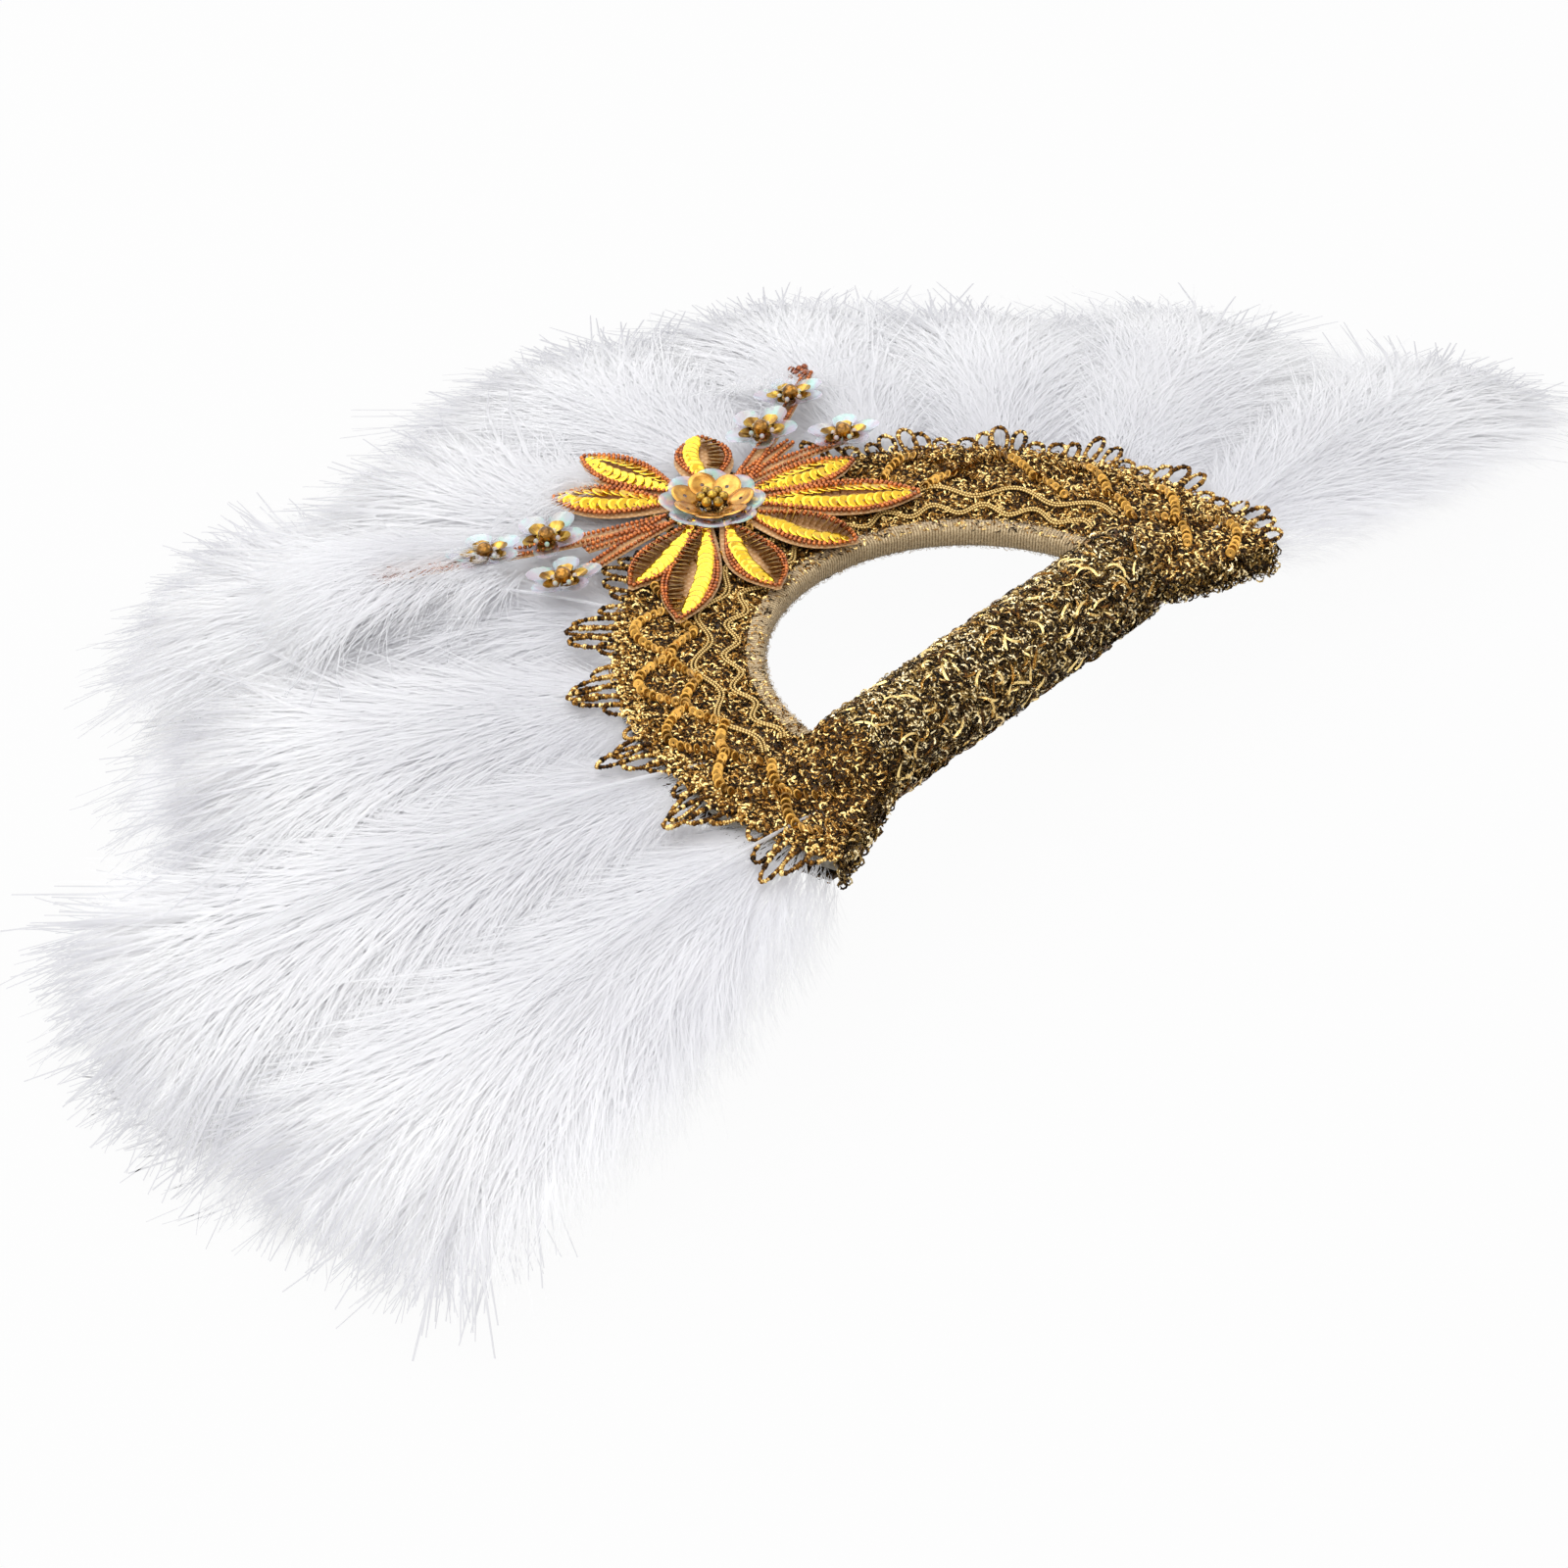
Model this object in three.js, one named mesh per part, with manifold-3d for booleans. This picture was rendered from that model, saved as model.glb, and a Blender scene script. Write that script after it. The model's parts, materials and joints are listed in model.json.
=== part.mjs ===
// Half-round feather hand fan with a hand opening, a padded handle and a beaded flower spray.
// Millimetres. X runs along the handle, +Y points to the top of the fan, +Z is its decorated front.
// The fan lies on the tips of its drooping plumes, and the origin is under the middle of its box.
import * as THREE from 'three';
import { mergeVertices } from 'three/addons/utils/BufferGeometryUtils.js';
import Module from 'manifold-3d';

const wasm = await Module();
wasm.setup();

// Driving dimensions of the frame, in millimetres and degrees
const CLEARANCE = 0.3;
const HANDLE_DIAMETER = 28;
const WRAP_THICKNESS = 1.3;
const BAR_WIDTH = 20;
const BOARD_THICKNESS = 3;
const OPENING_RADIUS = 58;
const OPENING_RISE = 6;
const END_DROP = 19;
const COVER_THICKNESS = 0.8;
const COVER_OVERHANG = 1.5;
const PAD_END_RADIUS = 7;
const PAD_QUILL_GAP = 4;
const HUMP_CLEARANCE = 0.8;
const HUMP_END_ANGLE = 11;

// Driving dimensions of the trims, from the hand opening outwards
const BINDING_THICKNESS = 0.9;
const BINDING_WIDTH = 5;
const TRIM_GAP = 1.5;
const CORD_RADIUS = 0.8;
const INNER_CORD_SWING = 2;
const INNER_CORD_START = 12;
const OUTER_CORD_SWING = 3;
const OUTER_CORD_START = 8;
const CORD_WAVES = 13;
const CHAIN_WIDTH = 3.4;
const CHAIN_THICKNESS = 0.8;
const CHAIN_SWING = 4;
const SCALLOPS = 12;
const EDGING_BAND = 5;
const EDGING_THICKNESS = 1;
const PICOT_LENGTHS = [8, 12, 8];
const PICOT_WIDTH = 6.4;
const PICOT_CORD = 1.4;
const PICOT_FOOT = 0.8;

// Driving dimensions of the plumes
const QUILL_THICKNESS = 1.2;
const QUILL_WIDTH = 2.4;
const QUILL_DEPTH = 22;
const PLUME_REACH = 265;
const PLUME_WIDTH = 96;
const PLUME_ROLL = 6;
const RACHIS_THICKNESS = 2;
const VANE_THICKNESS = 1;
const VANE_TAPER = 0.6;
const FRONT_PLUMES = 10;
const FRONT_CUTS = [0.99, 0.905, 0.815, 0.87, 0.885, 0.84, 0.945, 0.85, 1, 0.975];
const BACK_CUTS = [0.89, 0.89, 0.765, 0.95, 0.835, 0.85, 0.915, 0.89, 0.98];
const FRONT_DOWN = 9;
const BACK_DOWN = 6;
const DOWN_RISE = 0.45;
const FRONT_DROOP = 24;
const FRONT_DROOP_POWER = 1.6;
const BACK_DROOP = 36;
const BACK_DROOP_POWER = 1.3;
const ROOT_DROP = 12;
const TIP_DROP = 1;

// Driving dimensions of the flower spray
const ORGANZA_THICKNESS = 0.5;
const ORGANZA_MARGIN = 2;
const SPRAY_BACKING_WIDTH = 6;
const FLOWER_OFFSET = { x: -1, y: 1 };
const CUP_WALL = 0.8;
const CUP_FLOOR_SHARE = 0.5;
const FLOWER_CUP = { radius: 15, height: 3.1, lobes: 8, stepsPerLobe: 4, notch: 0.18 };
const DISC_RING = { radius: 10.5, height: 2.5, lobes: 7, stepsPerLobe: 4, notch: 0.22 };
const BLOSSOM_CUP = { radius: 9.2, height: 3, lobes: 5, stepsPerLobe: 3, notch: 0.4 };
const BLOSSOM_HEART = { radius: 5.6, height: 2.3, lobes: 5, stepsPerLobe: 3, notch: 0.4 };
const HEART_BEAD_RADIUS = 2.3;
const BUD = { radius: 4.4, height: 2.7, lobes: 4, stepsPerLobe: 3, notch: 0.3 };
const BEAD_RADIUS = 1.7;
const PETAL_START = 10;
const PETAL_THICKNESS = 1.8;
const PETAL_RIM = 1.2;
const PETALS = [
  { angle: 49, length: 36, width: 16 },
  { angle: 99, length: 46, width: 14 },
  { angle: 128, length: 46, width: 14 },
  { angle: 194, length: 46, width: 10.4 },
  { angle: 214, length: 58, width: 13.2 },
  { angle: 247, length: 45, width: 15 },
  { angle: 288, length: 45, width: 15 },
  { angle: 318, length: 60, width: 15.6 },
  { angle: 342, length: 47, width: 12 },
];
const STEM_RADIUS = 0.8;
const STEM_START = 15;
const STEM_ROOT_RADIUS = 3.4;
const SPRAYS = [
  {
    side: 'left',
    root: 165,
    stems: [
      { angle: 152, length: 98 },
      { angle: 165, length: 42 },
      { angle: 177, length: 55 },
    ],
    blossoms: [
      { angle: 156, distance: 47 },
      { angle: 153, distance: 69 },
      { angle: 177, distance: 55 },
    ],
    bud: { angle: 152, distance: 98 },
  },
  {
    side: 'right',
    root: 10,
    stems: [
      { angle: 23, length: 82 },
      { angle: 8, length: 40 },
      { angle: -6, length: 54 },
    ],
    blossoms: [
      { angle: 23, distance: 40 },
      { angle: 23, distance: 62 },
      { angle: -6, distance: 54 },
    ],
    bud: { angle: 23.5, distance: 82 },
  },
];

// Radii about the centre of the opening, worked out band by band
const EDGE_RADIUS = OPENING_RADIUS + BINDING_THICKNESS + CLEARANCE;
const BINDING_END = OPENING_RADIUS + BINDING_WIDTH;
const INNER_CORD_RADIUS = BINDING_END + TRIM_GAP + CORD_RADIUS + INNER_CORD_SWING;
const INNER_CORD_REACH = INNER_CORD_RADIUS + INNER_CORD_SWING + CORD_RADIUS;
const OUTER_CORD_RADIUS = INNER_CORD_REACH + TRIM_GAP + CORD_RADIUS + OUTER_CORD_SWING;
const CHAIN_INNER_REACH = OUTER_CORD_RADIUS + OUTER_CORD_SWING + CORD_RADIUS + TRIM_GAP;
const CHAIN_RADIUS = CHAIN_INNER_REACH + CHAIN_WIDTH / 2 + CHAIN_SWING;
const EDGING_INNER_RADIUS = CHAIN_RADIUS + CHAIN_SWING + CHAIN_WIDTH / 2 + TRIM_GAP;
const EDGING_OUTER_RADIUS = EDGING_INNER_RADIUS + EDGING_BAND;
const PICOT_REACH = EDGING_OUTER_RADIUS + Math.max(...PICOT_LENGTHS);
const COVER_RADIUS = EDGING_OUTER_RADIUS;
const BOARD_RADIUS = COVER_RADIUS - COVER_OVERHANG;
const QUILL_START = BOARD_RADIUS - QUILL_DEPTH;
const RISE_START = BINDING_END + CLEARANCE;
const RISE_END = QUILL_START - CLEARANCE;

// Levels above the middle of the board
const FACE_LEVEL = BOARD_THICKNESS / 2 + CLEARANCE;
const QUILL_LEVEL = FACE_LEVEL + QUILL_THICKNESS / 2;
const COVER_LEVEL = FACE_LEVEL + QUILL_THICKNESS + CLEARANCE;
const TRIM_LEVEL = COVER_LEVEL + COVER_THICKNESS + CLEARANCE;
const TRIM_HEIGHT = Math.max(EDGING_THICKNESS, CHAIN_THICKNESS, 2 * CORD_RADIUS);
const ORGANZA_LEVEL = TRIM_LEVEL + TRIM_HEIGHT + CLEARANCE;
const PETAL_LEVEL = ORGANZA_LEVEL + ORGANZA_THICKNESS + CLEARANCE;
const CUP_FLOOR_RADIUS = CUP_FLOOR_SHARE * FLOWER_CUP.radius;
const CUP_SLOPE = (FLOWER_CUP.height - CUP_WALL / 2) / (FLOWER_CUP.radius - CUP_FLOOR_RADIUS);
const CUP_NEST = CUP_SLOPE * (PETAL_START - CUP_FLOOR_RADIUS);
const FLOWER_LEVEL = PETAL_LEVEL + PETAL_THICKNESS + CLEARANCE - CUP_NEST;
const CUP_SEAT = CUP_WALL + CLEARANCE;
const DISC_LEVEL = FLOWER_LEVEL + CUP_SEAT;
const CLUSTER_LEVEL = DISC_LEVEL + CUP_SEAT;
const BLOSSOM_LEVEL = PETAL_LEVEL + 2 * STEM_RADIUS + CLEARANCE;

// Handle padding, which tapers into the ends of the ring
const PAD_RADIUS = HANDLE_DIAMETER / 2 - WRAP_THICKNESS - CLEARANCE;
const WRAP_HALF_LENGTH = EDGE_RADIUS - 2 * CLEARANCE;
const PAD_REACH = QUILL_START - PAD_QUILL_GAP;

const FLOWER_X = FLOWER_OFFSET.x;
const FLOWER_Y = OPENING_RISE + BOARD_RADIUS + FLOWER_OFFSET.y;
const UP = new THREE.Vector3(0, 0, 1);

// Finishes
function finish(color, roughness, metalness) {
  return new THREE.MeshStandardMaterial({ color, roughness, metalness });
}

const BOARD_GREY = finish(0x8f8a80, 0.8, 0);
const FOAM_CREAM = finish(0xd9cba8, 0.95, 0);
const LACE_GOLD = finish(0x8a6420, 0.5, 0.6);
const BINDING_BROWN = finish(0x7d6644, 0.9, 0);
const CORD_GOLD = finish(0xd9b659, 0.35, 0.8);
const SEQUIN_GOLD = finish(0xf0bd20, 0.2, 0.9);
const ORGANZA_TAN = finish(0xe2b77c, 0.7, 0);
const BEAD_COPPER = finish(0xa5612a, 0.3, 0.8);
const SEQUIN_PEARL = finish(0xdccfe8, 0.15, 0);
const DISC_AMBER = finish(0xd99a33, 0.25, 0.6);
const FEATHER_WHITE = finish(0xf1f1f4, 0.9, 0);

const fan = new THREE.Group();
const parts = new THREE.Group();
fan.add(parts);

function addPart(name, geometry, material) {
  const mesh = new THREE.Mesh(geometry, material.clone());
  mesh.name = name;
  parts.add(mesh);
  return mesh;
}

function radians(degrees) {
  return THREE.MathUtils.degToRad(degrees);
}

// A point at a radius and angle about the centre of the opening
function ringPoint(radius, angle, z = 0) {
  const turn = radians(angle);
  return new THREE.Vector3(radius * Math.cos(turn), OPENING_RISE + radius * Math.sin(turn), z);
}

// A point at a distance and angle from the middle of the flower
function flowerPoint(distance, angle, z = 0) {
  const turn = radians(angle);
  return new THREE.Vector3(FLOWER_X + distance * Math.cos(turn), FLOWER_Y + distance * Math.sin(turn), z);
}

// Evenly spaced values from first to last, both included
function spaced(first, last, count) {
  return Array.from({ length: count }, (_, index) => first + ((last - first) * index) / (count - 1));
}

function signedVolume(points, faces) {
  let volume = 0;
  for (const [a, b, c] of faces) {
    volume += points[a].dot(new THREE.Vector3().crossVectors(points[b], points[c])) / 6;
  }
  return volume;
}

// A closed body from points and triangles, turned so that its faces point out
function closedBody(points, faces) {
  const outward = signedVolume(points, faces) > 0 ? faces : faces.map(([a, b, c]) => [a, c, b]);
  const coordinates = points.flatMap((point) => point.toArray());
  const geometry = new THREE.BufferGeometry();
  geometry.setAttribute('position', new THREE.Float32BufferAttribute(coordinates, 3));
  geometry.setIndex(outward.flat());
  return geometry;
}

// A closed skin through stations, each a flat section and the rule that places its points in space
function loft(stations) {
  const count = stations[0].section.length;
  const points = stations.flatMap(({ section, place }) => section.map(place));
  const faces = [];
  for (let station = 0; station < stations.length - 1; station += 1) {
    for (let index = 0; index < count; index += 1) {
      const a = station * count + index;
      const b = station * count + ((index + 1) % count);
      faces.push([a, b, b + count], [a, b + count, a + count]);
    }
  }
  const last = (stations.length - 1) * count;
  for (const [a, b, c] of THREE.ShapeUtils.triangulateShape(stations[0].section, [])) {
    faces.push([a, c, b]);
  }
  for (const [a, b, c] of THREE.ShapeUtils.triangulateShape(stations.at(-1).section, [])) {
    faces.push([last + a, last + b, last + c]);
  }
  return closedBody(points, faces);
}

// A round or flat strand that follows points, its section standing across the path
function strand(path, section) {
  const stations = path.map((point, index) => {
    const before = path[Math.max(index - 1, 0)];
    const after = path[Math.min(index + 1, path.length - 1)];
    const along = after.clone().sub(before).setZ(0).normalize();
    const across = new THREE.Vector3().crossVectors(UP, along);
    return {
      section,
      place: ({ x, y }) => point.clone().addScaledVector(across, x).addScaledVector(UP, y),
    };
  });
  return loft(stations);
}

function roundSection(radius, sides) {
  return spaced(0, 360, sides + 1).slice(0, -1).map((angle) => {
    const turn = radians(angle);
    return new THREE.Vector2(radius * Math.cos(turn), radius * Math.sin(turn));
  });
}

function plate(shape, level, depth, curveSegments) {
  const geometry = new THREE.ExtrudeGeometry(shape, { depth, bevelEnabled: false, curveSegments });
  return geometry.translate(0, 0, level);
}

// A revolved form whose rim is notched into lobes; a row of its profile is radius, height, share of notch
function lobedDish(profile, { lobes, stepsPerLobe, notch }) {
  const steps = lobes * stepsPerLobe;
  const rings = profile.slice(1, -1);
  const points = [new THREE.Vector3(0, 0, profile[0][1])];
  for (const [radius, height, share] of rings) {
    for (let step = 0; step < steps; step += 1) {
      const turn = (2 * Math.PI * step) / steps;
      const reach = radius * (1 - share * notch * (0.5 - 0.5 * Math.cos(lobes * turn)));
      points.push(new THREE.Vector3(reach * Math.cos(turn), reach * Math.sin(turn), height));
    }
  }
  const top = points.length;
  points.push(new THREE.Vector3(0, 0, profile.at(-1)[1]));
  const faces = [];
  for (let step = 0; step < steps; step += 1) {
    const next = (step + 1) % steps;
    faces.push([0, 1 + next, 1 + step]);
    for (let ring = 0; ring < rings.length - 1; ring += 1) {
      const low = 1 + ring * steps;
      const high = low + steps;
      faces.push([low + step, low + next, high + next], [low + step, high + next, high + step]);
    }
    const lastRing = top - steps;
    faces.push([lastRing + step, lastRing + next, top]);
  }
  return closedBody(points, faces);
}

function toSolid(geometry) {
  const bare = geometry.clone();
  bare.deleteAttribute('normal');
  bare.deleteAttribute('uv');
  const merged = mergeVertices(bare, 1e-4);
  return new wasm.Manifold(new wasm.Mesh({
    numProp: 3,
    vertProperties: Float32Array.from(merged.attributes.position.array),
    triVerts: Uint32Array.from(merged.index.array),
  }));
}

function unite(geometries) {
  const solid = geometries.map(toSolid).reduce((whole, piece) => whole.add(piece));
  const mesh = solid.getMesh();
  const geometry = new THREE.BufferGeometry();
  geometry.setAttribute('position', new THREE.Float32BufferAttribute(mesh.vertProperties, 3));
  geometry.setIndex(new THREE.Uint32BufferAttribute(mesh.triVerts, 1));
  return geometry;
}

// Radius of the padding under the lace, along the handle and into the ends of the ring
function padRadius(x) {
  const share = (Math.abs(x) - WRAP_HALF_LENGTH) / (PAD_REACH - WRAP_HALF_LENGTH);
  return THREE.MathUtils.lerp(PAD_RADIUS, PAD_END_RADIUS, THREE.MathUtils.clamp(share, 0, 1));
}

// Height of a cover's inner face, which steps up over the quills and humps over the handle's ends
function coverHeight(x, y) {
  const radius = Math.hypot(x, y - OPENING_RISE);
  const rise = THREE.MathUtils.clamp((radius - RISE_START) / (RISE_END - RISE_START), 0, 1);
  const flat = THREE.MathUtils.lerp(FACE_LEVEL, COVER_LEVEL, rise);
  const fade = THREE.MathUtils.clamp((CHAIN_INNER_REACH - radius) / (CHAIN_INNER_REACH - RISE_END), 0, 1);
  const hump = padRadius(x) + HUMP_CLEARANCE;
  return Math.max(flat, fade * Math.sqrt(Math.max(0, hump * hump - y * y)));
}

function coverTop(x, y) {
  return coverHeight(x, y) + COVER_THICKNESS;
}

// Inner edge of the board and covers: an arc above the centre, straight sides below it
function edgeRadius(angle) {
  const below = angle < 0 || angle > 180;
  return below ? EDGE_RADIUS / Math.abs(Math.cos(radians(angle))) : EDGE_RADIUS;
}

// The board: a half ring joined by the bar under the handle, with the hand opening cut out
function coreBoard() {
  const drop = radians(END_DROP);
  const outline = new THREE.Shape();
  outline.absarc(0, OPENING_RISE, BOARD_RADIUS, -drop, Math.PI + drop, false);
  outline.lineTo(-EDGE_RADIUS, -BAR_WIDTH / 2);
  outline.lineTo(EDGE_RADIUS, -BAR_WIDTH / 2);
  outline.closePath();
  const start = Math.asin((BAR_WIDTH / 2 - OPENING_RISE) / EDGE_RADIUS);
  const opening = new THREE.Path();
  opening.absarc(0, OPENING_RISE, EDGE_RADIUS, start, Math.PI - start, false);
  opening.closePath();
  outline.holes.push(opening);
  return plate(outline, -BOARD_THICKNESS / 2, BOARD_THICKNESS, 24);
}

// Half-round foam scale on one face of the bar
function handlePad(side) {
  const arcSteps = 9;
  const stations = [-PAD_REACH, -WRAP_HALF_LENGTH, WRAP_HALF_LENGTH, PAD_REACH].map((x) => {
    const radius = padRadius(x);
    const low = Math.asin(FACE_LEVEL / radius);
    const section = spaced(low, Math.PI - low, arcSteps).map(
      (turn) => new THREE.Vector2(radius * Math.cos(turn), radius * Math.sin(turn)),
    );
    return { section, place: (point) => new THREE.Vector3(x, point.x, side * point.y) };
  });
  return loft(stations);
}

// Lace sleeve around the padded handle
function handleWrap() {
  const outer = HANDLE_DIAMETER / 2;
  const inner = outer - WRAP_THICKNESS;
  const profile = [
    new THREE.Vector2(inner, -WRAP_HALF_LENGTH),
    new THREE.Vector2(outer, -WRAP_HALF_LENGTH),
    new THREE.Vector2(outer, WRAP_HALF_LENGTH),
    new THREE.Vector2(inner, WRAP_HALF_LENGTH),
    new THREE.Vector2(inner, -WRAP_HALF_LENGTH),
  ];
  return new THREE.LatheGeometry(profile, 28).rotateZ(-Math.PI / 2);
}

// Lace cover on one face of the ring, with close stations where it humps over the handle's ends
function ringCover(side) {
  const humpSteps = 11;
  const archSteps = 18;
  const rightEnd = spaced(-END_DROP, HUMP_END_ANGLE, humpSteps);
  const arch = spaced(HUMP_END_ANGLE, 180 - HUMP_END_ANGLE, archSteps).slice(1, -1);
  const leftEnd = spaced(180 - HUMP_END_ANGLE, 180 + END_DROP, humpSteps);
  const stations = [...rightEnd, ...arch, ...leftEnd].map((angle) => {
    const start = Math.max(RISE_START, edgeRadius(angle) + CLEARANCE);
    const radii = [edgeRadius(angle), start, RISE_END, CHAIN_INNER_REACH, COVER_RADIUS];
    const rim = radii.map((radius) => ringPoint(radius, angle));
    const low = rim.map((point, index) => new THREE.Vector2(radii[index], coverHeight(point.x, point.y)));
    const high = rim.map((point, index) => new THREE.Vector2(radii[index], coverTop(point.x, point.y)));
    return {
      section: [...low, ...high.reverse()],
      place: (point) => ringPoint(point.x, angle, side * point.y),
    };
  });
  return loft(stations);
}

// Woven binding folded over the rim of the hand opening
function openingBinding() {
  const inside = FACE_LEVEL + COVER_THICKNESS + CLEARANCE;
  const outside = inside + BINDING_THICKNESS;
  const web = OPENING_RADIUS + BINDING_THICKNESS;
  const section = [
    new THREE.Vector2(OPENING_RADIUS, -outside),
    new THREE.Vector2(BINDING_END, -outside),
    new THREE.Vector2(BINDING_END, -inside),
    new THREE.Vector2(web, -inside),
    new THREE.Vector2(web, inside),
    new THREE.Vector2(BINDING_END, inside),
    new THREE.Vector2(BINDING_END, outside),
    new THREE.Vector2(OPENING_RADIUS, outside),
  ];
  const clearOfHandle = HANDLE_DIAMETER / 2 + HUMP_CLEARANCE + COVER_THICKNESS;
  const start = THREE.MathUtils.radToDeg(Math.asin((clearOfHandle - OPENING_RISE) / OPENING_RADIUS));
  const stations = spaced(start, 180 - start, 23).map((angle) => ({
    section,
    place: (point) => ringPoint(point.x, angle, point.y),
  }));
  return loft(stations);
}

// Soutache cord that waves around the ring, lying on the front cover
function waveCord(radius, swing, start) {
  const stepsPerWave = 4;
  const path = spaced(start, 180 - start, CORD_WAVES * stepsPerWave + 1).map((angle) => {
    const phase = (2 * Math.PI * CORD_WAVES * (angle - start)) / (180 - 2 * start);
    const point = ringPoint(radius + swing * Math.cos(phase), angle);
    return point.setZ(coverTop(point.x, point.y) + CLEARANCE + CORD_RADIUS);
  });
  return strand(path, roundSection(CORD_RADIUS, 5));
}

// Chain of sequins sewn in arches, one arch for each scallop of the edging
function sequinChain() {
  const stepsPerArch = 6;
  const half = CHAIN_WIDTH / 2;
  const section = [
    new THREE.Vector2(-half, 0),
    new THREE.Vector2(half, 0),
    new THREE.Vector2(half / 2, CHAIN_THICKNESS),
    new THREE.Vector2(-half / 2, CHAIN_THICKNESS),
  ];
  const angles = spaced(-END_DROP, 180 + END_DROP, SCALLOPS * stepsPerArch + 1).slice(2, -2);
  const path = angles.map((angle) => {
    const phase = (2 * Math.PI * SCALLOPS * (angle + END_DROP)) / (180 + 2 * END_DROP);
    return ringPoint(CHAIN_RADIUS - CHAIN_SWING * Math.cos(phase), angle, TRIM_LEVEL);
  });
  return strand(path, section);
}

// Outline of a picot loop, from one foot over its round end to the other foot
function picotOutline(angle, foot, length, halfWidth) {
  const roundSteps = 3;
  const centre = foot + length - halfWidth;
  const axis = radians(angle);
  const place = (along, across) => new THREE.Vector2(
    along * Math.cos(axis) - across * Math.sin(axis),
    OPENING_RISE + along * Math.sin(axis) + across * Math.cos(axis),
  );
  const round = spaced(-90, 90, roundSteps + 1).map((turn) => place(
    centre + halfWidth * Math.cos(radians(turn)),
    halfWidth * Math.sin(radians(turn)),
  ));
  return [place(foot, -halfWidth), ...round, place(foot, halfWidth)];
}

// Lace edging: a band with scallops of picot loops around the outside of the ring
function picotEdging() {
  const loops = SCALLOPS * PICOT_LENGTHS.length;
  const pitch = (180 + 2 * END_DROP) / loops;
  const outer = [];
  const holes = [];
  for (let loop = 0; loop < loops; loop += 1) {
    const angle = -END_DROP + pitch * (loop + 0.5);
    const length = PICOT_LENGTHS[loop % PICOT_LENGTHS.length];
    outer.push(...picotOutline(angle, EDGING_OUTER_RADIUS, length, PICOT_WIDTH / 2));
    const eyeLength = length - PICOT_CORD - PICOT_FOOT;
    const eyeFoot = EDGING_OUTER_RADIUS + PICOT_FOOT;
    const hole = picotOutline(angle, eyeFoot, eyeLength, PICOT_WIDTH / 2 - PICOT_CORD);
    holes.push(new THREE.Path(hole.reverse()));
  }
  const innerSteps = 2 * SCALLOPS;
  const inner = spaced(180 + END_DROP, -END_DROP, innerSteps).map((angle) => {
    const point = ringPoint(EDGING_INNER_RADIUS, angle);
    return new THREE.Vector2(point.x, point.y);
  });
  const outline = new THREE.Shape([...inner, ...outer]);
  outline.holes = holes;
  return plate(outline, TRIM_LEVEL, EDGING_THICKNESS, 1);
}

// Half the width of a petal at a share of its length
function petalHalfWidth(share, width) {
  const least = 0.7;
  return Math.max(least, (width / 2) * Math.sin(Math.PI * share ** 1.4) ** 0.9);
}

// Petal: a dished leaf with a beaded rim and a low middle vein
function petal({ angle, length, width }) {
  const axis = radians(angle);
  const vein = 0.8 * PETAL_THICKNESS;
  const floor = 0.6 * PETAL_THICKNESS;
  const stations = [0, 0.18, 0.36, 0.54, 0.7, 0.84, 0.94, 1].map((share) => {
    const half = petalHalfWidth(share, width);
    const rim = Math.min(PETAL_RIM, half / 2);
    const section = [
      new THREE.Vector2(-half, 0),
      new THREE.Vector2(half, 0),
      new THREE.Vector2(half, floor),
      new THREE.Vector2(half - rim / 2, PETAL_THICKNESS),
      new THREE.Vector2(half - rim, floor),
      new THREE.Vector2(0, vein),
      new THREE.Vector2(rim - half, floor),
      new THREE.Vector2(rim / 2 - half, PETAL_THICKNESS),
      new THREE.Vector2(-half, floor),
    ];
    const along = PETAL_START + share * (length - PETAL_START);
    const place = ({ x, y }) => new THREE.Vector3(
      FLOWER_X + along * Math.cos(axis) - x * Math.sin(axis),
      FLOWER_Y + along * Math.sin(axis) + x * Math.cos(axis),
      PETAL_LEVEL + y,
    );
    return { section, place };
  });
  return loft(stations);
}

// Organza backing cut around the petals and the two sprays
function organzaBase() {
  const valley = FLOWER_CUP.radius;
  const wholeTurn = (angle) => THREE.MathUtils.euclideanModulo(angle, 360);
  const stems = SPRAYS.flatMap((spray) => spray.stems);
  const backings = stems.map((stem) => ({ ...stem, width: SPRAY_BACKING_WIDTH }));
  const lobes = [...PETALS, ...backings].sort((a, b) => wholeTurn(a.angle) - wholeTurn(b.angle));
  const outline = new THREE.Shape();
  lobes.forEach(({ angle, length, width }, index) => {
    const before = lobes.at(index - 1).angle;
    const after = lobes[(index + 1) % lobes.length].angle;
    const halfBefore = wholeTurn(angle - before) / 2;
    const halfAfter = wholeTurn(after - angle) / 2;
    const reach = length + ORGANZA_MARGIN;
    const spread = THREE.MathUtils.radToDeg(Math.atan((width / 2 + ORGANZA_MARGIN) / (0.6 * reach)));
    const from = flowerPoint(valley, angle - halfBefore);
    const tip = flowerPoint(reach, angle);
    const to = flowerPoint(valley, angle + halfAfter);
    const swellIn = flowerPoint(0.8 * reach, angle - Math.min(spread, halfBefore));
    const swellOut = flowerPoint(0.8 * reach, angle + Math.min(spread, halfAfter));
    if (index === 0) {
      outline.moveTo(from.x, from.y);
    }
    outline.quadraticCurveTo(swellIn.x, swellIn.y, tip.x, tip.y);
    outline.quadraticCurveTo(swellOut.x, swellOut.y, to.x, to.y);
  });
  return plate(outline, ORGANZA_LEVEL, ORGANZA_THICKNESS, 3);
}

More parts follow.
